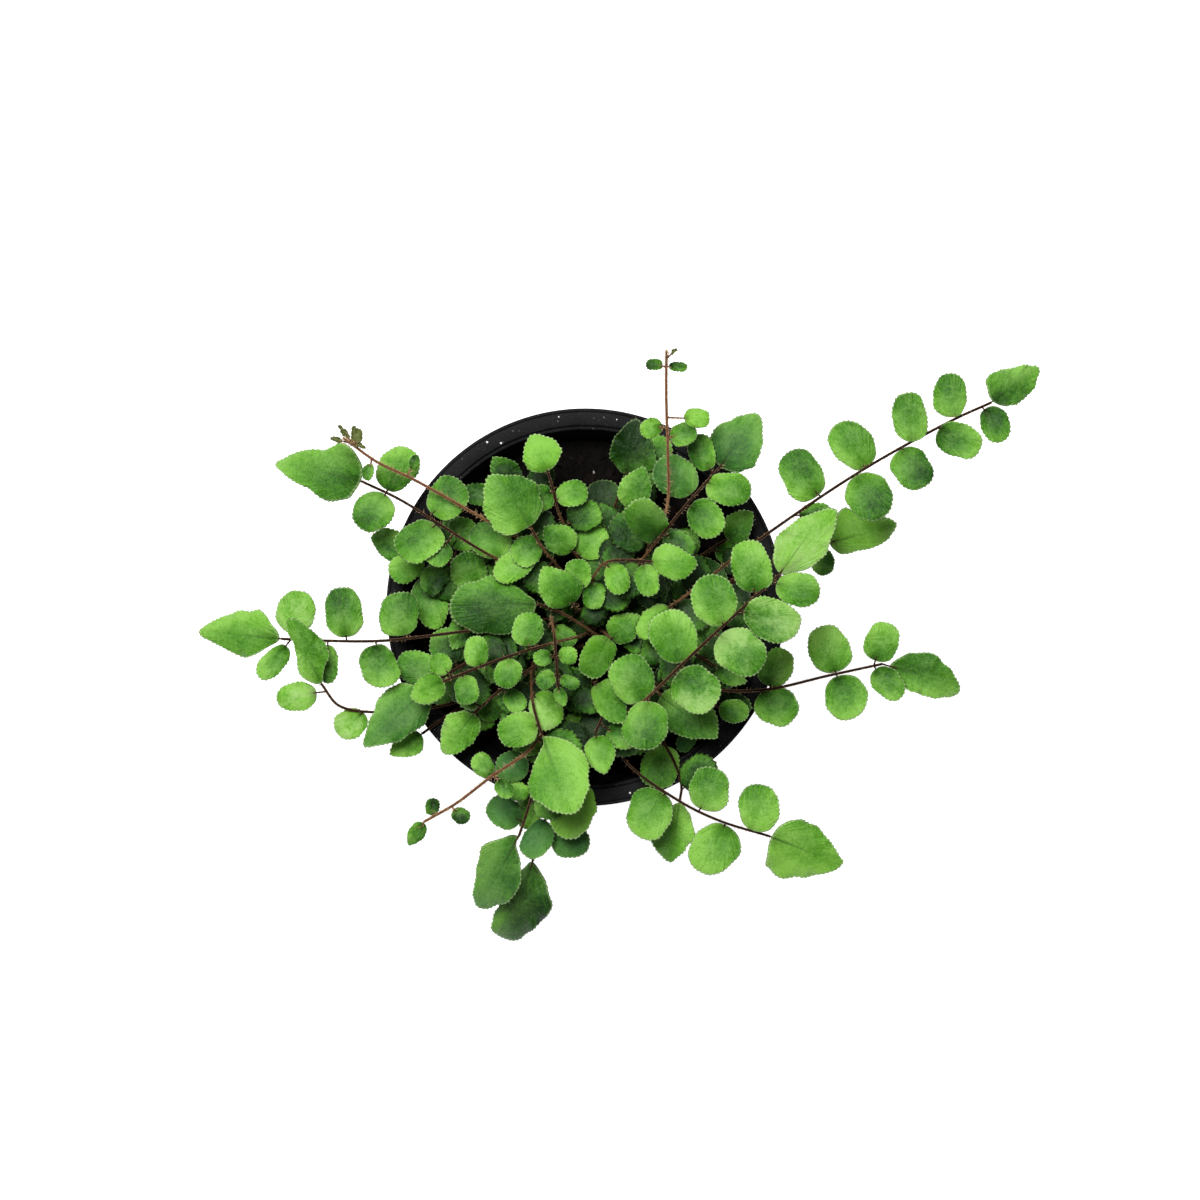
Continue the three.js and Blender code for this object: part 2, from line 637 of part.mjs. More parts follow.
const pot = potBody();
const soil = soilBody();
const names = Object.keys(FRONDS);
const paths = names.map((name) => stalkPath(FRONDS[name]));
const stalks = names.map((name, i) => {
  const stalk = stalkBody(paths[i], STALK_RADIUS, stepsOf(paths[i]));
  return FRONDS[name].curl ? stalk.add(curlBody(paths[i])) : stalk;
});

const fronds = [];
const stuck = [];
names.forEach((name, i) => {
  const others = [pot, soil, ...stalks.filter((_, k) => k !== i), ...fronds];
  const blades = [];
  for (const leaf of leafletsOf(FRONDS[name], paths[i])) {
    const blade = clearBlade(leaf, others, blades);
    if (blade) blades.push(blade);
    else stuck.push(`${name} ${leaf.x} ${leaf.y}`);
  }
  fronds.push(blades.reduce((body, blade) => body.add(blade), stalks[i]));
});
if (stuck.length) console.error(`no clear place: ${stuck.join('; ')}`);

// Assembly

const plastic = new THREE.MeshStandardMaterial({ color: 0x1c1c1e, roughness: 0.5, metalness: 0 });
const mix = new THREE.MeshStandardMaterial({ color: 0x1a1512, roughness: 1, metalness: 0 });

const fern = new THREE.Group();
fern.add(meshOf('pot', pot, plastic));
fern.add(meshOf('soil', soil, mix));
names.forEach((name, i) => {
  const green = new THREE.MeshStandardMaterial({ color: 0x4f9a38, roughness: 0.6, metalness: 0 });
  fern.add(meshOf(`frond_${name}`, fronds[i], green));
});

export default fern;
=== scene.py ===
"""A button fern in a round black nursery pot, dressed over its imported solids. Metres, +Z up."""
import math
import random

import bpy
import numpy as np
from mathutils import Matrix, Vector, noise
from mathutils.bvhtree import BVHTree
from mathutils.kdtree import KDTree


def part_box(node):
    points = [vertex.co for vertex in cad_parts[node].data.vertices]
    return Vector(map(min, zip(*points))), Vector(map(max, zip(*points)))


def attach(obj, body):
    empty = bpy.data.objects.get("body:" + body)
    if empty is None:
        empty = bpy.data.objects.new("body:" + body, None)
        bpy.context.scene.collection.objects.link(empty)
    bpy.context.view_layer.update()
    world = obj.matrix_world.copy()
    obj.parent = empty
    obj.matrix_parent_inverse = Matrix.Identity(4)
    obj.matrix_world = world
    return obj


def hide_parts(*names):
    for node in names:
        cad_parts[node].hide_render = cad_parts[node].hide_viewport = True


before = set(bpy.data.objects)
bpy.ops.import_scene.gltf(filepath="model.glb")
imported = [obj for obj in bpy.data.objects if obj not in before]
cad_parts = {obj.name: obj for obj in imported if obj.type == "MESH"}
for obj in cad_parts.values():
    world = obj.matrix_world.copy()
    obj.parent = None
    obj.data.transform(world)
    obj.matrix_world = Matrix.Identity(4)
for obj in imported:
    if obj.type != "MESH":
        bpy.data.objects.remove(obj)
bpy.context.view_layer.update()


# Nursery pot. One piece of black polypropylene, injection moulded: a tapered cup with a
# flat turned-over rim, a small ledge inside it, and a ring of drain holes in its floor.

MM = 0.001
pot_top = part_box("pot")[1].z
rim_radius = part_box("pot")[1].x
rim_width = 5.2 * MM
rim_depth = 13 * MM
band_draft = 0.4 * MM
ledge_width = 1.2 * MM
ledge_depth = 1.2 * MM
wall = 1.4 * MM
floor_thickness = 2 * MM
base_radius = 42 * MM
foot_height = 3 * MM
foot_step = 1 * MM
groove_inset = 0.8 * MM  # a fine line round the rim, just inside its edge
groove_width = 0.4 * MM
groove_depth = 0.3 * MM
pot_segments = 180
drain_holes = 8
drain_radius = 4.5 * MM
drain_circle = 31 * MM
drain_sides = 32
ledge_radius = rim_radius - rim_width - ledge_width
rim_grains = [  # specks of perlite stuck to the rim: x, y and radius, in millimetres
    (-29.6, 49.8, 0.38), (-25.4, 49.5, 0.38), (13.5, -56.0, 0.35), (45.5, -31.6, 0.35),
    (-8.0, 57.4, 0.25), (9.5, 56.6, 0.22), (-52.0, 24.0, 0.22),
]


def inner_radius(z):
    foot = base_radius - foot_step / 2
    return foot + (ledge_radius - foot) * z / pot_top


def rounded(corners):
    """A profile of (radius, height, rounding) corners, each one cut by an arc of its own."""
    places = [Vector(corner[:2]) for corner in corners]
    profile = [places[0]]
    for i in range(1, len(corners) - 1):
        back = places[i - 1] - places[i]
        ahead = places[i + 1] - places[i]
        reach = min(corners[i][2], back.length * 0.45, ahead.length * 0.45)
        start = places[i] + back.normalized() * reach
        end = places[i] + ahead.normalized() * reach
        for t in (0, 1 / 3, 2 / 3, 1):
            profile.append(start * (1 - t) ** 2 + places[i] * 2 * t * (1 - t) + end * t ** 2)
    return profile + [places[-1]]


def mesh_of(name, corners, faces):
    mesh = bpy.data.meshes.new(name)
    mesh.from_pydata(corners, [], faces)
    return mesh


def turned(name, profile, segments):
    """A closed mesh turned about Z from a profile that runs from the axis out and back to it."""
    rings = profile[1:-1]
    corners = [(0, 0, profile[0][1])]
    for radius, height in rings:
        for k in range(segments):
            angle = 2 * math.pi * k / segments
            corners.append((radius * math.cos(angle), radius * math.sin(angle), height))
    corners.append((0, 0, profile[-1][1]))
    faces = []
    last = 1 + (len(rings) - 1) * segments
    for k in range(segments):
        after = (k + 1) % segments
        faces.append((0, 1 + after, 1 + k))
        for low in range(1, last, segments):
            high = low + segments
            faces.append((low + k, low + after, high + after, high + k))
        faces.append((last + k, last + after, len(corners) - 1))
    return mesh_of(name, corners, faces)


def shown(name, data):
    piece = bpy.data.objects.new(name, data)
    bpy.context.scene.collection.objects.link(piece)
    return piece


def applied(piece):
    """Gives the piece the mesh that its modifiers make, and takes them off."""
    scene_now = bpy.context.evaluated_depsgraph_get()
    result = bpy.data.meshes.new_from_object(piece.evaluated_get(scene_now))
    piece.modifiers.clear()
    piece.data = result


def smooth(mesh, angle):
    """Smooth shading, with a hard line along edges sharper than the angle in degrees."""
    mesh.shade_smooth()
    mesh.set_sharp_from_angle(angle=math.radians(angle))


class Wire:
    """A socket in a material's nodes. Arithmetic on wires adds Math nodes to the material."""

    def __init__(self, material, socket=None):
        self.material = material
        self.socket = socket

    def node(self, kind, sockets, settings=None, output=0):
        """Adds a node: its settings first, then the values or wires of its sockets."""
        tree = self.material.node_tree
        made = tree.nodes.new(kind)
        for key, value in (settings or {}).items():
            if key != "stops":
                setattr(made, key, value)
                continue
            while len(made.color_ramp.elements) < len(value):
                made.color_ramp.elements.new(1)
            for stop, (place, colour) in zip(made.color_ramp.elements, value):
                stop.position = place
                stop.color = (*colour, 1)
        for key, value in sockets.items():
            named = [s for s in made.inputs if key in (s.identifier, s.name)]
            into = made.inputs[key] if isinstance(key, int) else named[0]
            if isinstance(value, Wire):
                tree.links.new(value.socket, into)
            elif into.type == "RGBA":
                into.default_value = (*value, 1)
            else:
                into.default_value = value
        named = [s for s in made.outputs if output in (s.identifier, s.name)]
        first = made.outputs[0] if len(made.outputs) else None
        return Wire(self.material, named[0] if named else first)

    def maths(self, operation, *values):
        return self.node("ShaderNodeMath", dict(enumerate(values)), {"operation": operation})

    def __add__(self, other):
        return self.maths("ADD", self, other)

    def __sub__(self, other):
        return self.maths("SUBTRACT", self, other)

    def __mul__(self, other):
        return self.maths("MULTIPLY", self, other)

    def __radd__(self, other):
        return self.maths("ADD", other, self)

    def __rsub__(self, other):
        return self.maths("SUBTRACT", other, self)

    def __rmul__(self, other):
        return self.maths("MULTIPLY", other, self)

    def part(self, axis):
        """One of the three numbers of this vector."""
        return self.node("ShaderNodeSeparateXYZ", {"Vector": self}, output=axis)

    def rise(self, low, high):
        """0 below low, 1 above high and smooth between them; the other way round if low is higher."""
        span = {"Value": self, "From Min": low, "From Max": high}
        return self.node("ShaderNodeMapRange", span, {"interpolation_type": "SMOOTHSTEP"})

    def mixed(self, first, second):
        """Two colours mixed by this wire."""
        sides = {"Factor_Float": self, "A_Color": first, "B_Color": second}
        return self.node("ShaderNodeMix", sides, {"data_type": "RGBA"}, "Result_Color")

    def grain(self, scale, detail=2.0, roughness=0.5):
        """Noise from 0 to 1 over this vector."""
        return self.node("ShaderNodeTexNoise", {
            "Vector": self, "Scale": scale, "Detail": detail, "Roughness": roughness,
        })

    def relief(self, distance, strength=1.0):
        """A normal that this height bends."""
        return self.node("ShaderNodeBump", {"Height": self, "Distance": distance, "Strength": strength})


def finish(name):
    """A new material: the wire from which its nodes are added, and its place on the object."""
    material = bpy.data.materials.new(name)
    material.use_nodes = True
    material.node_tree.nodes.clear()
    start = Wire(material)
    return start, start.node("ShaderNodeTexCoord", {}, output="Object")


def facing_up(start):
    return start.node("ShaderNodeNewGeometry", {}, output="Normal").part("Z")


def shaded(start, sockets):
    """Ends a finish in its shader, and gives the material."""
    shader = start.node("ShaderNodeBsdfPrincipled", sockets)
    start.node("ShaderNodeOutputMaterial", {"Surface": shader})
    return start.material


def pot_plastic():
    """Satin black plastic with moulding grain, fine scuffs and a little light grey dust on top."""
    start, place = finish("nursery pot plastic")
    up = facing_up(start)
    grain = place.grain(2600, 3, 0.6)
    mottle = place.grain(160, 4, 0.6)
    stretched = start.node("ShaderNodeMapping", {"Vector": place, "Scale": (900, 900, 60)})
    scuff = stretched.grain(1, 2).rise(0.62, 0.75)
    speck = place.grain(1500, 1, 0.3).rise(0.74, 0.8) * up.rise(0.3, 0.9)
    plain = mottle.rise(0.3, 0.7).mixed((0.0056, 0.0057, 0.0060), (0.0100, 0.0100, 0.0106))
    grainy = (grain.rise(0.5, 0.7) * up.rise(0.5, 0.95)).mixed(plain, (0.020, 0.020, 0.021))
    for x, y, size in rim_grains:
        far = start.node("ShaderNodeVectorMath", {
            0: place, 1: (x * MM, y * MM, pot_top),
        }, {"operation": "DISTANCE"}, "Value")
        grainy = far.rise(size * MM, size * MM * 0.6).mixed(grainy, (0.75, 0.74, 0.70))
    dusty = (speck * 0.75).mixed(grainy, (0.22, 0.21, 0.19))
    return shaded(start, {
        "Base Color": (scuff * 0.1).mixed(dusty, (0.045, 0.045, 0.048)),
        "Roughness": 0.38 + mottle * 0.16 + speck * 0.3,
        "Specular IOR Level": 0.03,
        "Normal": (grain * 0.6 + mottle * 0.4).relief(0.00012, 0.5),
    })


def drill_mesh():
    """Upright rods, one where each drain hole goes."""
    corners = []
    faces = []
    for hole in range(drain_holes):
        angle = 2 * math.pi * hole / drain_holes
        x = drain_circle * math.cos(angle)
        y = drain_circle * math.sin(angle)
        ring = list(range(len(corners), len(corners) + drain_sides))
        for z in (-floor_thickness, 2 * floor_thickness):
            for k in range(drain_sides):
                turn = 2 * math.pi * k / drain_sides
                corners.append((x + drain_radius * math.cos(turn), y + drain_radius * math.sin(turn), z))
        faces += [ring[::-1], [k + drain_sides for k in ring]]
        for k, corner in enumerate(ring):
            after = ring[(k + 1) % drain_sides]
            faces.append((corner, after, after + drain_sides, corner + drain_sides))
    return mesh_of("drills", corners, faces)


bottom_band = pot_top - rim_depth
under_rim = pot_top - wall - ledge_depth
groove_edge = rim_radius - groove_inset
pot = shown("nursery_pot", turned("nursery_pot", rounded([
    (0, 0, 0),
    (base_radius - foot_step, 0, 0.6 * MM),
    (base_radius - foot_step, foot_height, 0.2 * MM),
    (inner_radius(foot_height) + wall, foot_height, 0.4 * MM),
    (inner_radius(pot_top - wall) + wall, under_rim, 0.4 * MM),
    (rim_radius - wall, under_rim, 0.3 * MM),
    (rim_radius - band_draft - wall, bottom_band, 0.4 * MM),
    (rim_radius - band_draft, bottom_band, 0.4 * MM),
    (rim_radius, pot_top, 1.1 * MM),
    (groove_edge, pot_top, 0.1 * MM),
    (groove_edge - groove_width / 2, pot_top - groove_depth, 0.1 * MM),
    (groove_edge - groove_width, pot_top, 0.1 * MM),
    (rim_radius - rim_width, pot_top, 0.5 * MM),
    (rim_radius - rim_width - 0.1 * MM, pot_top - ledge_depth, 0.2 * MM),
    (ledge_radius, pot_top - ledge_depth, 0.4 * MM),
    (inner_radius(floor_thickness), floor_thickness, 1.5 * MM),
    (0, floor_thickness, 0),
]), pot_segments))
drills = shown("drills", drill_mesh())
drilled = pot.modifiers.new("drain holes", "BOOLEAN")
drilled.object = drills
drilled.operation = "DIFFERENCE"
drilled.solver = "EXACT"
applied(pot)
bpy.data.objects.remove(drills)
smooth(pot.data, 35)
pot.data.materials.append(pot_plastic())
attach(pot, "root")
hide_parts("pot")


# Potting mix. Dark peat and composted bark, poured in and settled, with a crust of crumbs
# and bark chips on top and a few grains of perlite that have worked their way up.

soil_level = 75 * MM
soil_gap = 0.3 * MM
soil_mound = 1.5 * MM
soil_lumps = [(0.6, 20, 23), (0.4, 13, 31)]  # height, and pitch along x and y, in millimetres
soil_rings = 44
soil_segments = 150
soil_edge = 3 * MM  # how far in from the pot the crumbly top begins
just_inside = 0.999
crumb_depth = 1.1 * MM
crumb_noises = ((1, 420, 0), (0.6, 1100, 7))  # share, scale and layer
crumb_seed = 4
crust_depth = 2 * MM  # from the mix's level down to the lowest place for a crumb
crust_slope = 0.2  # least upward part of the normal there
crumb_bend = 1.1 * MM
crumb_turns = ((-0.5, -0.5, 0), (0.5, 0.5, 6.28))
soil_radius = inner_radius(soil_level) - soil_gap
scattered = [  # what, per square metre, shape, least and most size, clear of the edge, in millimetres
    ("Crumbs", 300000.0, "ball", (0.5, 0.5, 0.35), (1.3, 1.1, 0.8), 1.6),
    ("Chips", 26000.0, "slab", (1.2, 0.5, 0.3), (4.2, 1.5, 0.7), 5.2),
    ("Perlite", 1500.0, "grain", (0.45, 0.4, 0.35), (1.0, 0.9, 0.8), 1.6),
]


def soil_height(x, y):
    share = math.hypot(x, y) / inner_radius(soil_level)
    height = soil_level + soil_mound * (1 - share * share)
    for lump, pitch_x, pitch_y in soil_lumps:
        along = math.sin(2 * math.pi * x / (pitch_x * MM))
        height += lump * MM * along * math.cos(2 * math.pi * y / (pitch_y * MM))
    return height


def mix_body():
    """Closed body of the mix: lumpy and crumbly on top, smooth where it lies against the pot."""
    foot = floor_thickness + soil_gap
    profile = [(0, foot), (inner_radius(floor_thickness) - soil_gap, foot), (soil_radius, soil_level)]
    profile += [(soil_radius * ring / soil_rings, soil_level) for ring in range(soil_rings - 1, -1, -1)]
    mesh = turned("potting_mix", profile, soil_segments)
    for corner in mesh.vertices:
        x, y, z = corner.co
        across = math.hypot(x, y)
        if z > soil_level / 2 and across < soil_radius * just_inside:
            crumbs = sum(
                share * noise.noise(Vector((x, y, layer)) * scale) for share, scale, layer in crumb_noises
            )
            edge = min(1, (soil_radius - across) / soil_edge)
            corner.co.z = soil_level + (soil_height(x, y) - soil_level + crumb_depth * crumbs) * edge
    return mesh


def mix_finish(name, dark, light):
    """Damp organic crumbs: two browns in small patches over a rough surface."""
    start, place = finish(name)
    patch = place.grain(420, 4, 0.65)
    fine = place.grain(2400, 3, 0.6)
    return shaded(start, {
        "Base Color": (patch * 0.6 + fine * 0.4).rise(0.38, 0.66).mixed(dark, light),
        "Roughness": 0.82 + fine * 0.15,
        "Specular IOR Level": 0.1,
        "Normal": (patch * 0.5 + fine * 0.5).relief(0.0006, 0.8),
    })


def perlite():
    start, place = finish("perlite")
    pits = place.grain(3000, 2)
    return shaded(start, {
        "Base Color": pits.rise(0.35, 0.6).mixed((0.16, 0.15, 0.13), (0.42, 0.40, 0.35)),
        "Roughness": 0.85,
        "Normal": pits.relief(0.0003, 0.6),
    })


class Growth:
    """A Geometry Nodes tree in the making: its named inputs, and a method that adds a node."""

    def __init__(self, name, inputs):
        self.tree = bpy.data.node_groups.new(name, "GeometryNodeTree")
        self.socket("Geometry", "INPUT", "Geometry")
        for label, kind in inputs:
            self.socket(label, "INPUT", kind)
        self.socket("Geometry", "OUTPUT", "Geometry")
        self.given = self.tree.nodes.new("NodeGroupInput").outputs

    def socket(self, label, side, kind):
        self.tree.interface.new_socket(name=label, in_out=side, socket_type="NodeSocket" + kind)

    def add(self, kind, values=None, **settings):
        """Adds a node: its settings first, then the values, or what feeds them, of its sockets."""
        node = self.tree.nodes.new(kind)
        for key, value in settings.items():
            setattr(node, key, value)
        for key, value in (values or {}).items():
            if isinstance(value, bpy.types.Node):
                value = value.outputs[0]
            if isinstance(value, bpy.types.NodeSocket):
                self.tree.links.new(value, node.inputs[key])
            else:
                node.inputs[key].default_value = value
        return node

    def maths(self, operation, first, second):
        return self.add("ShaderNodeMath", {0: first, 1: second}, operation=operation)

    def drawn(self, least, most, seed):
        """A vector for each point, drawn between two others."""
        ends = {0: least, 1: most, "Seed": seed}
        return self.add("FunctionNodeRandomValue", ends, data_type="FLOAT_VECTOR")

    def joined(self, layers):
        """The layers as one plain mesh."""
        join = self.add("GeometryNodeJoinGeometry")
        for layer in layers:
            self.tree.links.new(layer, join.inputs[0])
        return self.add("GeometryNodeRealizeInstances", {0: join})

    def ended(self, last):
        out = self.tree.nodes.new("NodeGroupOutput")
        self.tree.links.new(last.outputs[0], out.inputs[0])
        return self.tree


def set_inputs(piece, tree, values):
    """A modifier of this tree on the piece, with its inputs set before it is first evaluated."""
    modifier = piece.modifiers.new(tree.name, "NODES")
    modifier.node_group = tree
    for item in tree.interface.items_tree:
        if item.in_out == "INPUT" and item.name in values:
            modifier[item.identifier] = values[item.name]


def mix_tree():
    """Scatters crumbs, bark chips and perlite over the top of the mix."""
    inputs = [(what + " per square metre", "Float") for what, *_ in scattered] + [("Seed", "Int")]
    crust = Growth("mix crust", inputs + [(what + " material", "Material") for what, *_ in scattered])
    add, maths, given = crust.add, crust.maths, crust.given
    spot = add("GeometryNodeInputPosition")
    flat = add("ShaderNodeVectorMath", {0: spot, 1: (1, 1, 0)}, operation="MULTIPLY")
    off_axis = add("ShaderNodeVectorMath", {0: flat}, operation="LENGTH").outputs["Value"]
    place = add("ShaderNodeSeparateXYZ", {0: spot}).outputs["Z"]
    facing = add("ShaderNodeSeparateXYZ", {0: add("GeometryNodeInputNormal")}).outputs["Z"]
    high = maths("GREATER_THAN", place, soil_level - crust_depth)
    top = maths("MULTIPLY", high, maths("GREATER_THAN", facing, crust_slope))
    layers = [given["Geometry"]]
    for number, (what, _, body, least, most, clear) in enumerate(scattered):
        inside = maths("LESS_THAN", off_axis, soil_radius - clear * MM)
        points = add("GeometryNodeDistributePointsOnFaces", {
            "Mesh": given["Geometry"], "Selection": maths("MULTIPLY", top, inside),
            "Density": given[what + " per square metre"], "Seed": maths("ADD", given["Seed"], number),
        })
        if body == "slab":
            made = add("GeometryNodeMeshCube", {
                "Size": (2 * MM, 2 * MM, 2 * MM), "Vertices X": 3, "Vertices Y": 2, "Vertices Z": 2,
            })
        else:
            fineness = 2 if body == "grain" else 1
            made = add("GeometryNodeMeshIcoSphere", {"Radius": MM, "Subdivisions": fineness})
        bent = add("ShaderNodeTexNoise", {"Scale": 900, "Detail": 1}).outputs["Color"]
        shift = add("ShaderNodeVectorMath", {0: bent, 1: (0.5, 0.5, 0.5)}, operation="SUBTRACT")
        push = add("ShaderNodeVectorMath", {0: shift, "Scale": crumb_bend}, operation="SCALE")
        rough = add("GeometryNodeSetPosition", {"Geometry": made, "Offset": push})
        painted = add("GeometryNodeSetMaterial", {"Geometry": rough, "Material": given[what + " material"]})
        strewn = add("GeometryNodeInstanceOnPoints", {
            "Points": points, "Instance": painted,
            "Rotation": crust.drawn(*crumb_turns, number + 15), "Scale": crust.drawn(least, most, number + 5),
        })
        layers.append(strewn.outputs[0])
    return crust.ended(crust.joined(layers[::-1]))


mix = shown("potting_mix", mix_body())
peat = mix_finish("potting mix", (0.0012, 0.0010, 0.0009), (0.0044, 0.0034, 0.0028))
mix.data.materials.append(peat)
smooth(mix.data, 60)
inputs = {what + " per square metre": density for what, density, *_ in scattered}
set_inputs(mix, mix_tree(), inputs | {
    "Seed": crumb_seed, "Crumbs material": peat, "Perlite material": perlite(),
    "Chips material": mix_finish("bark chips", (0.0026, 0.0020, 0.0016), (0.0095, 0.0063, 0.0046)),
})
applied(mix)
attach(mix, "root")
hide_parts("soil")


# Fronds. Each grew as one piece: a thin wiry stalk, dark and bristly, with round leathery
# leaflets left and right on short stems and a longer pointed one at its end. Young ones
# are still coiled at the tip. All lengths of this section are millimetres.

# The darkest tone, k, is for leaflets low in the clump: partly their own duller green, partly painted shade
# of the clump above.
tones = {  # tone, greyness and strength of the painted sheen patch
    "k": (0.0, 0.0, 0.1),
    "d": (0.20, 0.0, 0.2),
    "e": (0.32, 0.1, 0.2),
    "m": (0.44, 0.0, 0.3),
    "n": (0.54, 0.0, 0.38),
    "l": (0.66, 0.0, 0.35),
    "b": (0.88, 0.0, 0.2),
    "g": (0.36, 1.0, 0.2),
    "h": (0.38, 0.45, 0.35),
    "p": (0.8, 0.0, 1.0),
    "q": (0.5, 0.0, 1.0),
    "o": (0.3, 2.0, 0.0),
}

# Each frond: where its stalk leaves the mix, the points that it then passes, and the x, y,
# length and width of its leaflets, with a letter each for their tones, the end one's last.
# An end leaflet may have a fold too, and an outline: its left and right edges at the knots,
# and its tip, as shares of its width. Bare is the share of the stalk that has no leaflets.

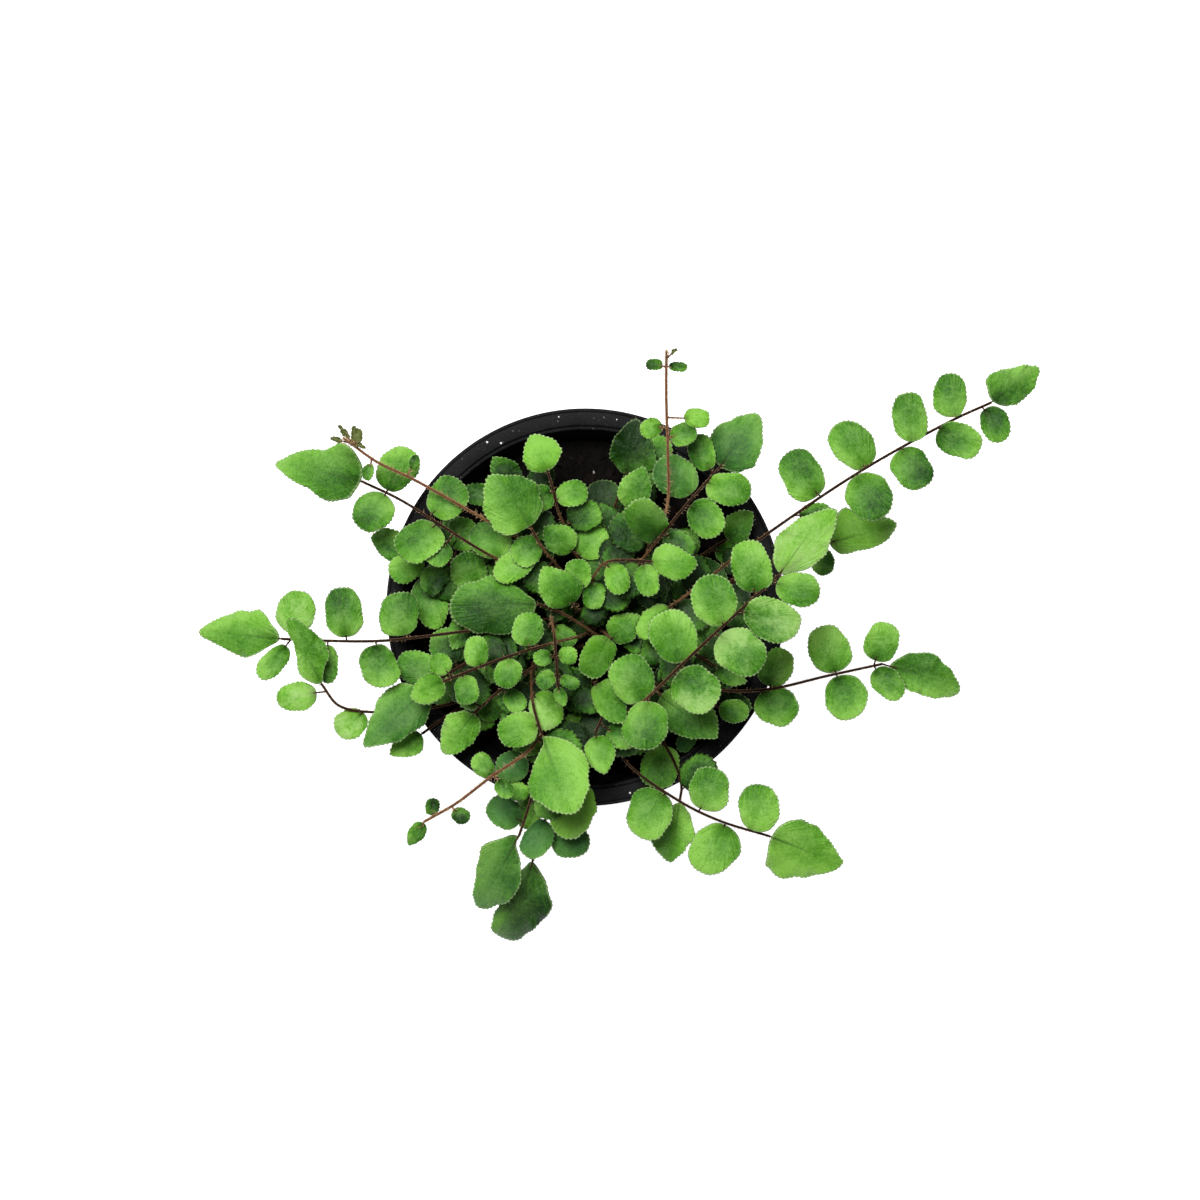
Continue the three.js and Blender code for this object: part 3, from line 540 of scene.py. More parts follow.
fronds = {
    "centre_young": dict(
        crown=(-8, -7), end=(-7, -26.5, 6, 4), tones="mmlmmm",
        stalk=[(-10, -5, 108), (-10, -3.5, 124), (-9, -9, 132), (-8.5, -16, 134), (-8, -23, 133)],
        leaflets=[
            (-6, -8.5, 8, 6), (-12.5, -15, 5.5, 5), (-5, -14, 5.5, 5.5), (-11.5, -21.5, 6, 5.5),
            (-4.5, -22, 6, 4),
        ],
    ),
    "north_young": dict(
        crown=(13, 10), tones="ddlmb", curl=True,
        stalk=[(20, 20, 112), (24.5, 31, 132), (24.5, 45, 139), (24, 61, 140), (24, 74, 140)],
        leaflets=[
            (20.5, 71.5, 5, 3.5), (27.5, 71, 5.5, 3), (19.5, 53, 6.5, 6), (29, 51, 8, 7),
            (33, 55.5, 7.5, 6),
        ],
        buds=[(26.2, 75.4, 2.4, 1.1)],
    ),
    "northeast_long": dict(
        crown=(16, -5), end=(127.5, 66, 18.5, 11.5), tones="mnnmdeemem",
        stalk=[(28, 2, 116), (50, 19, 140), (81, 40, 146), (108, 55, 140), (120, 60.5, 134)],
        leaflets=[
            (64, 39, 15.5, 12.5), (78.5, 47.5, 15.5, 12), (96, 56, 14.5, 10.5), (108, 62.5, 13, 10),
            (68, 27.5, 10, 6), (83.5, 32.5, 14.5, 13), (96.5, 41, 13, 11.5), (110, 49, 13.5, 10.5),
            (121, 54, 11, 8.5),
        ],
        outline=[(0.5, 0.62, 0.5, 0.37, 0.17), (-0.22, -0.41, -0.47, -0.37, -0.15), 0],
    ),
    "east_front": dict(
        crown=(9, -27), end=(64.5, 20, 25, 14), tones="nnnnmqqqnp", bare=0.5,
        stalk=[(11, -31, 108), (16, -29, 126), (31, -14.5, 141), (46, -0.5, 147), (57, 9.5, 147)],
        leaflets=[
            (13.5, -21.5, 14.5, 13.5), (26.5, -8.5, 16, 14), (38, 2, 15.5, 13), (49, 12, 15.5, 12),
            (18, -35, 14.5, 13.5), (32.5, -24.5, 14.5, 14), (45.5, -13.5, 15.5, 13.5), (55, -3, 17, 12.5),
            (62.5, 5, 13, 10),
        ],
        outline=[(0.31, 0.5, 0.48, 0.3, 0.05), (-0.22, -0.5, -0.55, -0.46, -0.33), -0.2],
    ),
    "northwest_young": dict(
        crown=(-8, 13), tones="mdo", curl=True,
        stalk=[(-19, 20, 110), (-34, 28.5, 127), (-51, 38, 133), (-61.5, 43, 134), (-70, 49, 136)],
        leaflets=[(-64, 40, 5, 3.5), (-50.5, 43, 4.5, 3), (-67.5, 50.5, 5, 3.5)],
        buds=[
            (-71.6, 52.2, 4.2, 1.7), (-68.2, 51.8, 3.8, 1.6), (-73.4, 49.6, 3.8, 1.6),
            (-66.6, 47.8, 3.8, 1.4), (-70.6, 51.2, 3.2, 1.5),
        ],
    ),
    "west_small_upper": dict(
        crown=(3, -7), end=(-47, -24.5, 11.5, 9), tones="nllnml",
        stalk=[(-3, -9, 110), (-11, -11, 126), (-24, -15, 130), (-37, -20, 128), (-42, -22, 126)],
        leaflets=[
            (-17, -6.5, 10, 9.5), (-32, -13, 9, 7.5), (-43, -17, 7, 6.5), (-23, -19.5, 9, 8),
            (-35, -24.5, 8.5, 7.5),
        ],
    ),
    "northeast_upper": dict(
        crown=(10, 4), end=(46, 49.5, 19.5, 15.5), tones="mhmmnh",
        stalk=[(13, 9, 106), (22, 20.5, 123), (31, 31.5, 128), (40, 41.5, 127)],
        leaflets=[
            (18.5, 26, 12.5, 11.5), (27, 39, 14, 12), (35, 46, 11, 8), (36, 26.5, 12, 10.5),
            (42.5, 35, 13.5, 10),
        ],
        outline=[(0.42, 0.55, 0.5, 0.38, 0.22), (-0.36, -0.51, -0.49, -0.36, -0.16), 0.02],
    ),
    "centre_east": dict(
        crown=(1, 2), end=(26.5, 13.5, 13.5, 12), tones="llml",
        stalk=[(2, 8, 110), (6.5, 13.5, 122), (13.5, 14, 126), (20, 13.5, 127)],
        leaflets=[(9.5, 8.5, 9.5, 7.5), (18.5, 8, 9.5, 7.5), (3, 3.5, 8, 7)],
        outline=[(0.36, 0.46, 0.44, 0.28, 0.14), (-0.24, -0.39, -0.47, -0.44, -0.24), -0.05],
    ),
    "northwest": dict(
        crown=(-11, 8), end=(-80, 40.5, 27.5, 19), tones="mmnmmmm",
        stalk=[(-20, 11.5, 106), (-31, 17, 121), (-43, 24.5, 125), (-55, 32, 124), (-66.5, 37.5, 119)],
        leaflets=[
            (-28, 20.5, 12.5, 12), (-41, 32.5, 13, 12), (-55.5, 41, 14, 11.5), (-43.5, 16, 8, 8),
            (-49, 19.5, 14, 12.5), (-63, 28.5, 12.5, 11.5),
        ],
        outline=[(0.3, 0.44, 0.32, 0.24, 0.11), (-0.42, -0.53, -0.34, -0.32, -0.13), 0],
    ),
    "north_northwest": dict(
        crown=(-4, 8), end=(-21.5, 32, 19, 18), tones="mlm",
        stalk=[(-8, 12, 106), (-13.5, 19, 121), (-16, 23.5, 125)],
        leaflets=[(-17.5, 17, 9.5, 9), (-21, 12, 13.5, 8.5)],
        outline=[(0.46, 0.53, 0.53, 0.45, 0.27), (-0.36, -0.46, -0.5, -0.36, -0.09), 0.1],
    ),
    "south_front": dict(
        crown=(-14, -11), end=(-8.5, -50, 24.5, 18), tones="pll",
        stalk=[(-16, -19, 104), (-15.5, -29, 118), (-13, -37.5, 121)],
        leaflets=[(-11.5, -30.5, 11.5, 10.5), (-20, -36.5, 12, 10.5)],
        outline=[(0.28, 0.55, 0.57, 0.49, 0.3), (-0.02, -0.3, -0.53, -0.49, -0.25), 0.05],
    ),
    "southwest_young": dict(
        crown=(-5, -15), end=(-50.5, -68, 8.5, 5), tones="nmddm",
        stalk=[(-10, -31, 102), (-16, -42, 113), (-28, -50.5, 119), (-38.5, -58.5, 118), (-48, -64, 115)],
        leaflets=[(-30.5, -47, 7.5, 6.5), (-24, -54, 6.5, 5), (-37, -62, 5.5, 5), (-45.5, -59.5, 5, 4.5)],
    ),
    "north_small": dict(
        crown=(0, 13), end=(-13.5, 46, 12, 12.5), tones="mlb",
        stalk=[(-4, 21, 103), (-8, 28.5, 115), (-9.5, 35, 118), (-11, 40, 118)],
        leaflets=[(-13.5, 32.5, 8.5, 8), (-4, 34, 9.5, 8)],
        outline=[(0.3, 0.45, 0.43, 0.35, 0.18), (-0.3, -0.5, -0.53, -0.42, -0.2), 0.02],
    ),
    "west": dict(
        crown=(-9, -3), end=(-104, -8.5, 25, 15), tones="mmpmmnn",
        stalk=[
            (-22, -5.5, 104), (-38.5, -7.5, 116), (-60.5, -10, 115), (-78.5, -10, 110), (-91, -9.5, 105),
        ],
        leaflets=[
            (-55, -2, 13, 12.5), (-72, -1.5, 15, 11.5), (-86.5, -1.5, 13, 11.5), (-61, -17.5, 13, 11.5),
            (-77, -17, 11.5, 6), (-93.5, -16.5, 12.5, 7),
        ],
        outline=[(0.15, 0.4, 0.43, 0.25, 0.14), (-0.29, -0.57, -0.5, -0.4, -0.18), 0],
    ),
    "west_small_lower": dict(
        crown=(-1, -12), end=(-38, -38, 16, 12), tones="mll",
        stalk=[(-6, -13.5, 102), (-14, -17, 114), (-25, -24.5, 117), (-33, -31.5, 113)],
        leaflets=[(-21, -28, 7.5, 6.5), (-35.5, -27.5, 6.5, 5)],
        outline=[(0.29, 0.43, 0.42, 0.34, 0.16), (-0.3, -0.5, -0.49, -0.38, -0.17), 0],
    ),
    "centre_west": dict(
        crown=(-3, 0), end=(-8, 6.5, 14, 12.5), tones="lm",
        stalk=[(-2, -1, 104), (-3.5, 0.5, 113)],
        leaflets=[(-2, 10, 8.5, 8)],
    ),
    "south_centre": dict(
        crown=(7, -12), end=(4.5, -44, 11.5, 9.5), tones="ml",
        stalk=[(8, -20, 100), (5, -33, 113), (3, -37.5, 115)],
        leaflets=[(11, -38.5, 9.5, 8)],
    ),
    "west_southwest": dict(
        crown=(-13, -19), end=(-83.5, -13, 21, 12, 0.35), tones="ppmdn",
        stalk=[
            (-28, -25, 94), (-45, -30, 101), (-62.5, -31.5, 106), (-73.5, -29.5, 112), (-78.5, -23, 118),
        ],
        leaflets=[(-86, -26.5, 12, 8.5), (-70, -35, 10, 9), (-29, -30.5, 8, 8), (-44, -23.5, 12, 11)],
        outline=[(0.27, 0.4, 0.22, 0.17, 0.16), (-0.12, -0.48, -0.57, -0.39, -0.25), -0.03],
    ),
    "south_middle": dict(
        crown=(2, -16), end=(7.5, -28.5, 14, 10.5), tones="m",
        stalk=[(2, -19, 98), (2.5, -22.5, 110)],
    ),
    "southeast_middle": dict(
        crown=(12, -11), end=(31, -33, 21, 14), tones="mdm",
        stalk=[(17, -19, 98), (23, -27, 109)],
        leaflets=[(44.5, -31, 9, 7), (26, -20.5, 9, 8)],
    ),
    "west_middle": dict(
        crown=(8, -11), end=(-27.5, 1, 26, 18), tones="d",
        stalk=[(3, -8, 98), (-7.5, -1.5, 111), (-14, 1, 114)],
        outline=[(0.35, 0.5, 0.53, 0.48, 0.36), (-0.15, -0.35, -0.48, -0.4, -0.28), 0.06],
    ),
    "centre_north": dict(
        crown=(2, 9), end=(-8, 20.5, 11, 9.5), tones="lm",
        stalk=[(0, 12, 98), (-3, 16, 109)],
        leaflets=[(2, 19.5, 11, 10.5)],
    ),
    "north_middle": dict(
        crown=(7, 13), end=(15.5, 35.5, 13, 10), tones="hm",
        stalk=[(9, 17, 96), (12.5, 26, 108)],
        leaflets=[(12, 20, 12, 10.5)],
    ),
    "northeast_behind": dict(
        # Its end leaflet's tone is painted bright, standing in for the light that the long frond above keeps
        # off it.
        crown=(19, -6), end=(83, 22, 21, 15), tones="mmb",
        stalk=[(34, 3, 100), (55, 13, 112), (72, 19, 113)],
        leaflets=[(71, 13.5, 8, 7), (26, 6, 11, 9)],
        outline=[(0.4, 0.6, 0.5, 0.36, 0.16), (-0.28, -0.33, -0.31, -0.33, -0.18), 0],
    ),
    "east": dict(
        # Its second leaflet's tone is painted lighter, against the shade of its tilt away from the light.
        crown=(17, -18), end=(102.5, -21, 23, 13.5, 0.2), tones="nlnmmmm",
        stalk=[(28, -23, 98), (42, -25, 108), (55, -24.5, 112), (72.5, -20.5, 112), (89, -17, 108)],
        leaflets=[
            (57, -18, 12, 10), (73, -12.5, 14.5, 12.5), (89, -10.5, 12, 10.5), (57, -30, 12.5, 12),
            (77.5, -27, 13.5, 12.5), (90.5, -23, 11.5, 8.5),
        ],
        outline=[(0.28, 0.5, 0.53, 0.38, 0.15), (-0.22, -0.41, -0.44, -0.39, -0.26), -0.09],
    ),
    "east_middle": dict(
        crown=(13, -2), end=(44, -20, 10, 7), tones="ddm",
        stalk=[(19, -6, 98), (30, -12.5, 107), (38, -17, 108)],
        leaflets=[(37, -10, 10, 9), (21.5, -12, 10, 9)],
    ),
    "southeast": dict(
        crown=(3, -20), end=(67, -73.5, 24, 18.5), tones="nllnl",
        stalk=[(7, -34, 98), (12, -46, 105), (28, -58, 106), (40, -64, 103), (55.5, -69, 97)],
        leaflets=[
            (37, -54.5, 13, 12.5), (52.5, -60.5, 14, 12.5), (38.5, -72.5, 16, 14), (19.5, -62, 15, 14),
        ],
        outline=[(0.31, 0.46, 0.42, 0.31, 0.11), (-0.48, -0.6, -0.53, -0.39, -0.19), 0.02],
    ),
    "southwest": dict(
        crown=(-16, -9), end=(-57, -33.5, 24.5, 16), tones="mhmdh",
        stalk=[(-28, -13.5, 98), (-38, -18, 107), (-47, -24, 108)],
        leaflets=[(-50, -18.5, 13.5, 10.5), (-21, -15, 9, 9), (-31, -19.5, 9, 9), (-42, -12, 11, 10)],
        outline=[(0.36, 0.46, 0.41, 0.33, 0.11), (-0.36, -0.52, -0.48, -0.33, -0.16), -0.02],
    ),
    "west_northwest": dict(
        crown=(-16, 4), end=(-59, 19, 12, 9.5), tones="lmm",
        stalk=[(-30, 9, 98), (-44, 14, 106), (-53, 17, 107)],
        leaflets=[(-53.5, 12, 11, 9), (-37, 22, 10, 10)],
    ),
    "northeast_low": dict(
        crown=(18, 3), end=(46.5, 24.5, 11, 9), tones="mdlm",
        stalk=[(28, 11, 96), (38, 17.5, 103), (42, 20, 104)],
        leaflets=[(45, 16, 12, 8), (37, 9.5, 12, 10), (29, 19, 9, 8)],
    ),
    "south_low": dict(
        crown=(0, -26), end=(-3.5, -61, 18, 14.5), tones="lb",
        stalk=[(1, -38, 96), (1, -46, 103), (0, -52, 103)],
        leaflets=[(-2.5, -37, 11, 9.5)],
        outline=[(0.27, 0.44, 0.45, 0.41, 0.29), (-0.3, -0.46, -0.48, -0.42, -0.3), 0],
    ),
    "west_low": dict(
        crown=(-11, 5), end=(-37, -7.5, 11.5, 9.5), tones="md",
        stalk=[(-21, 3.5, 95), (-32, 2, 103)],
        leaflets=[(-35, 10.5, 12, 11)],
    ),
    "south_left": dict(
        crown=(-9, -20), end=(-26.5, -81, 26.5, 14.5), tones="mggmh",
        stalk=[(-12, -37, 96), (-14.5, -51, 104), (-17, -60, 101), (-20, -69, 94)],
        leaflets=[(-17.5, -41, 9, 8), (-22, -48, 10, 9.5), (-24.5, -62, 11, 9.5), (-11, -60, 9, 8)],
        outline=[(0.02, 0.36, 0.56, 0.46, 0.24), (-0.3, -0.61, -0.46, -0.36, -0.22), -0.02],
    ),
    "south_right": dict(
        crown=(-4, -25), end=(-20, -90.5, 27, 16), tones="ggd",
        stalk=[(-8, -42, 94), (-10.5, -55, 99), (-12.5, -66, 92), (-16, -77, 81)],
        leaflets=[(-14.5, -70, 12, 9), (-4.5, -71, 11.5, 10)],
        outline=[(0.22, 0.55, 0.62, 0.4, 0.24), (-0.12, -0.3, -0.32, -0.45, -0.36), -0.03],
    ),
    "centre_low": dict(
        crown=(2, -4), end=(12, -6, 11, 9.5), tones="mm",
        stalk=[(5, -7, 94), (8, -9.5, 101)],
        leaflets=[(4, -15, 13, 10)],
    ),
    "west_inner": dict(
        crown=(-19, 10), end=(-46.5, 1.5, 16.5, 12), tones="m",
        stalk=[(-33, 14, 92), (-45, 13.5, 99), (-48.5, 9, 100)],
        outline=[(0.28, 0.46, 0.46, 0.4, 0.25), (-0.28, -0.46, -0.48, -0.42, -0.26), 0],
    ),
    "southwest_low": dict(
        crown=(-14, -15), end=(-54, -41.5, 11, 8), tones="l",
        stalk=[(-28, -24, 90), (-42, -33, 97), (-49, -38, 98.5)],
    ),
    "south_folded": dict(
        crown=(12, -21), end=(27, -68, 19, 15, 0.55), tones="ml",
        stalk=[(20, -35, 92), (27, -47, 98), (29, -54, 98.5), (28.5, -58, 97)],
        leaflets=[(22.5, -48, 13, 12)],
        outline=[(0.2, 0.34, 0.44, 0.26, 0.11), (-0.2, -0.36, -0.46, -0.42, -0.18), 0],
    ),
    "north_low": dict(
        crown=(-7, 15), end=(-24, 41, 11, 9), tones="kdk",
        stalk=[(-14, 27, 90), (-19, 35, 95)],
        leaflets=[(-13.5, 38.5, 10, 8), (-31, 34, 13, 7)],
    ),
    "north_deep": dict(
        crown=(4, 18), end=(14, 48, 16.5, 14), tones="kddk",
        stalk=[(8, 28, 89), (11, 36, 95), (12.5, 39.5, 97)],
        leaflets=[(6, 31.5, 14, 12), (17, 39.5, 11, 9), (21, 46, 12, 9)],
    ),
    "southeast_deep": dict(
        crown=(20, -15), end=(45, -29.5, 10, 8), tones="gk",
        stalk=[(31, -24, 88), (39, -28.5, 92)],
        leaflets=[(31, -39, 10, 6)],
    ),
}

stalk_foot = 12  # length below the surface
stalk_collar = 8
stalk_radius = 0.48
tip_radius = 0.42
stalk_step = 13
beads_per_step = 4
line_step = 1.6
curl_radius = 1.7
curl_turn = 1.55 * math.pi
curl_steps = 21
curl_shrink = 0.25
coil_radius = 0.38  # of the stalk where its coil begins
coil_taper = 0.1
places_along = 160


def unit(way):
    return way / np.linalg.norm(way)


class Stalk:
    """A stalk's line: a centripetal Catmull-Rom curve, straight up from its foot at first."""

    def __init__(self, frond):
        x, y = frond["crown"]
        level = soil_level / MM
        foot = [level - stalk_foot, level - stalk_foot / 3, level + stalk_collar]
        self.points = np.array([(x, y, z) for z in foot] + frond["stalk"], float)
        self.times = np.linspace(0, 1, 201)
        line = np.array([self.at_time(t) for t in self.times])
        steps = np.linalg.norm(np.diff(line, axis=0), axis=1)
        self.lengths = np.concatenate(([0], np.cumsum(steps)))
        self.length = self.lengths[-1]

    def at_time(self, t):
        count = len(self.points)
        i = min(int((count - 1) * t), count - 2)
        w = (count - 1) * t - i
        p1, p2 = self.points[i], self.points[i + 1]
        p0 = self.points[i - 1] if i > 0 else 2 * p1 - p2
        p3 = self.points[i + 2] if i + 2 < count else 2 * p2 - p1
        d0, d1, d2 = (math.sqrt(np.linalg.norm(b - a)) for a, b in ((p0, p1), (p1, p2), (p2, p3)))
        t1 = ((p1 - p0) / d0 - (p2 - p0) / (d0 + d1) + (p2 - p1) / d1) * d1
        t2 = ((p2 - p1) / d1 - (p3 - p1) / (d1 + d2) + (p3 - p2) / d2) * d1
        place = p1 + t1 * w + (3 * (p2 - p1) - 2 * t1 - t2) * w * w
        return place + (2 * (p1 - p2) + t1 + t2) * w ** 3

    def at(self, share):
        return self.at_time(np.interp(share * self.length, self.lengths, self.times))

    def heading(self):
        return unit(self.at_time(1) - self.at_time(0.9999))

    def beads(self):
        """The places where leaflets may join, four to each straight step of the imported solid."""
        steps = math.ceil(self.length / stalk_step)
        corners = [self.at(i / steps) for i in range(steps + 1)]
        return [
            corners[i] + (corners[i + 1] - corners[i]) * k / beads_per_step
            for i in range(steps) for k in range(beads_per_step)
        ]


leaf_fields = ("x", "y", "length", "width", "fold")
bare_stalk = 0.3  # share of the beads, from the foot, that carry no leaflets
ahead = 1.5  # cost of a joint further on than the nearest bead
covered = 100  # and of one that the blade would lie over
blade_rise = 0.1
blade_roll = math.radians(9)
steepest = (-0.5, 0.3)  # slopes of an end leaflet
lift_step = 0.7
most_lifts = 13
blade_half = 0.4
blade_dome = 0.07
blade_droop = 0.06


def leaf_of(entry):
    return {"end": False, "fold": 0} | dict(zip(leaf_fields, entry))


def flat_reach(place, leaf):
    return math.hypot(place[0] - leaf["x"], place[1] - leaf["y"])


def joint_of(leaf, beads, bare):
    """The bead from which a leaflet grows: the nearest that its blade doesn't cover."""
    free = beads[int(bare * len(beads)):]
    reach = [flat_reach(bead, leaf) for bead in free]
    nearest = reach.index(min(reach))
    cost = [
        far + (covered if far < leaf["length"] / 2 else 0) + (ahead if i > nearest else 0)
        for i, far in enumerate(reach)
    ]
    return free[cost.index(min(cost))]


def spread(leaf, lift):
    """The blade's middle, and its directions along, across and up."""
    middle = np.array((leaf["x"], leaf["y"], leaf["z"] + lift))
    along = unit(middle - leaf["joint"])
    level = unit(np.cross((0, 0, 1), along))
    across = level * math.cos(leaf["roll"]) + np.cross(along, level) * math.sin(leaf["roll"])
    up = np.cross(along, across)
    return middle, along / math.hypot(along[0], along[1]), across, up


def lifted(leaf, tree):
    """The leaflet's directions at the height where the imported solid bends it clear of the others."""
    best = None
    for step in range(2 * most_lifts + 1):
        lift = lift_step * math.ceil(step / 2) * (1 if step % 2 else -1)
        middle, along, across, up = spread(leaf, lift)
        crest = middle + up * blade_dome * leaf["width"]
        tip = middle + along * leaf["length"] / 2 - up * blade_droop * leaf["length"]
        marks = [mark + up * half for mark in (crest, tip) for half in (-blade_half, blade_half)]
        missed = sum(min(1, tree.find(mark)[2]) for mark in marks)
        if best is None or missed < best[0] - 1e-4:
            best = (missed, middle, along, across, up)
    return best[1:]


round_power = 2.3  # of a side leaflet's outline
base_power = 0.45  # and of an end leaflet's, at its base and its tip
tip_power = 0.75
outline_knots = (0, 0.1, 0.3, 0.5, 0.7, 0.9, 1)  # the places along a blade that an outline's widths are for
outlined_waves = ((0.045, 9), (0.03, 15))  # height and count
plain_waves = ((0.04, 3), (0.022, 7))
edge_points = 120
edge_rounds = 20
small_blade = 9
tooth_pitch = 1.35
small_pitch = 0.7  # of a small blade, as a share of the usual
low_pitch = 1.7  # of the leaflets low in the clump
tooth_height = 0.34
tooth_profile = (-0.5, 0.15, 0.7)
least_teeth = 8
teeth_from = 0.1  # share of the blade's length, from its base, where the teeth start to grow
teeth_grow = 0.15
tooth_luck = (0.35, 1.1)
any_phase = (0, 6.3)
most_skew = 0.1
most_oblique = 0.06


def round_half(s):
    """Half the width of a side leaflet, s of the way along it."""
    return 0.5 * (1 - np.abs(2 * s - 1) ** round_power) ** (1 / round_power)


def pointed_half(s):
    """The same of an end leaflet."""
    widest = base_power / (base_power + tip_power)
    most = widest ** base_power * (1 - widest) ** tip_power
    return 0.5 * s ** base_power * (1 - s) ** tip_power / most


def waves(turn, luck, sizes):
    """A sum of sines, each of a given height and count, and of a drawn phase."""
    return sum(size * np.sin(count * turn + luck.uniform(*any_phase)) for size, count in sizes)


def both_sides(leaf, luck, turn, s):
    """How far the blade's left and right edges lie from its middle line."""
    if leaf.get("outline"):
        left, right, tip = leaf["outline"]
        knots = np.arccos(1 - 2 * np.array(outline_knots))
        sides = [np.interp(turn, knots, (0, *row, tip)) * leaf["width"] for row in (left, right)]
        crimp = waves(turn, luck, outlined_waves)
        return [side * (1 + crimp * hand) for side, hand in zip(sides, (1, -1))]
    half = pointed_half if leaf["end"] else round_half
    skew = luck.uniform(-most_skew, most_skew)
    wave = waves(turn, luck, plain_waves)
    half = half(s) * leaf["width"] * (1 + wave)
    oblique = luck.uniform(-most_oblique, most_oblique) * leaf["width"] * np.sin(2 * turn)
    return [half * (1 + skew) + oblique, -half * (1 - skew) + oblique]


def edge_line(leaf, luck):
    """The toothed edge and the plain one inside it, as points along and across the blade."""
    turn = np.linspace(0, math.pi, edge_points)
    s = (1 - np.cos(turn)) / 2
    sides = both_sides(leaf, luck, turn, s)
    left, right = (np.stack(((s - 0.5) * leaf["length"], side), axis=1) for side in sides)
    line = np.concatenate((left, right[-2:0:-1]))
    if leaf.get("outline"):
        for _ in range(edge_rounds):
            line = (np.roll(line, 1, axis=0) + 2 * line + np.roll(line, -1, axis=0)) / 4
    line = np.concatenate((line, line[:1]))
    lengths = np.concatenate(([0], np.cumsum(np.linalg.norm(np.diff(line, axis=0), axis=1))))
    pitch = tooth_pitch if leaf["length"] > small_blade else tooth_pitch * small_pitch
    if leaf.get("low"):
        pitch = low_pitch
    teeth = max(least_teeth, round(lengths[-1] / pitch))
    places = np.arange(3 * teeth) / (3 * teeth) * lengths[-1]
    plain = np.stack([np.interp(places, lengths, line[:, axis]) for axis in (0, 1)], axis=1)
    way = np.roll(plain, -1, axis=0) - np.roll(plain, 1, axis=0)
    out = np.stack((-way[:, 1], way[:, 0]), axis=1)
    out /= np.linalg.norm(out, axis=1)[:, None]
    share = plain[:, 0] / leaf["length"] + 0.5
    height = tooth_height * (pitch / tooth_pitch) * np.clip((share - teeth_from) / teeth_grow, 0, 1)
    height *= np.tile(tooth_profile, teeth)
    height *= np.repeat([luck.uniform(*tooth_luck) for _ in range(teeth)], 3)
    return plain + out * height[:, None], plain


top_rings = (0.2, 0.42, 0.62, 0.79, 0.9, 0.97)
under_rings = (0.94, 0.55)
low_top_rings = (0.5, 0.86)
low_under_rings = (0.8,)
large_blade = 14
blade_thickness = 0.36
surface_waves = ((1, 3, 2), (0.5, 3, 5), (0.4, 4, 9))  # height, growth towards the edge, and count
large_bend = (0.6, 1.2)  # how strong the waves of a large blade are, at least and at most
small_bend = (0.3, 0.65)
fold_luck = (-0.06, 0.1)
cup_luck = (-0.16, 0.12)
dome_luck = (0.6, 1.7)
fold_softness = 0.5
rib_depth = 0.22
rib_width = 0.5
rib_fade = 1.4
edge_taper = 0.04  # the outermost share of the way to the edge, where the blade gets thinner
edge_thickness = 0.45
sharp_from = 0.85  # share of the way to the edge, from which the rings take on the teeth
sharp_over = 0.15
tone_luck = 0.05
faint_rib = 0.3


def is_large(leaf):
    return leaf["end"] and leaf["length"] > large_blade


def surface(leaf, luck, flat, s, rho, face):
    """How high each corner lies: the fold, dome and waves of the blade, its rib and its thickness."""
    side = flat[:, 1]
    turn = np.arctan2(side, flat[:, 0])
    bend = luck.uniform(*(large_bend if is_large(leaf) else small_bend))
    height = (leaf["fold"] + luck.uniform(*fold_luck)) * (np.sqrt(side ** 2 + fold_softness) - 0.7)
    height += luck.uniform(*cup_luck) * side ** 2 / leaf["width"]
    height -= blade_droop * leaf["length"] * np.maximum(0, 2 * s - 1) ** 2
    height += blade_dome * leaf["width"] * (1 - rho ** 2) * luck.uniform(*dome_luck)
    for size, power, waved in surface_waves:
        height += size * bend * rho ** power * np.sin(waved * turn + luck.uniform(*any_phase))
    faded = np.clip(rib_fade - rib_fade * s, 0, 1)
    height -= rib_depth * np.exp(-(side / rib_width) ** 2) * faded * (face > 0)
    thinned = np.clip((1 - rho) / edge_taper, edge_thickness, 1)
    return height + face * blade_thickness / 2 * thinned * (rho < 1)


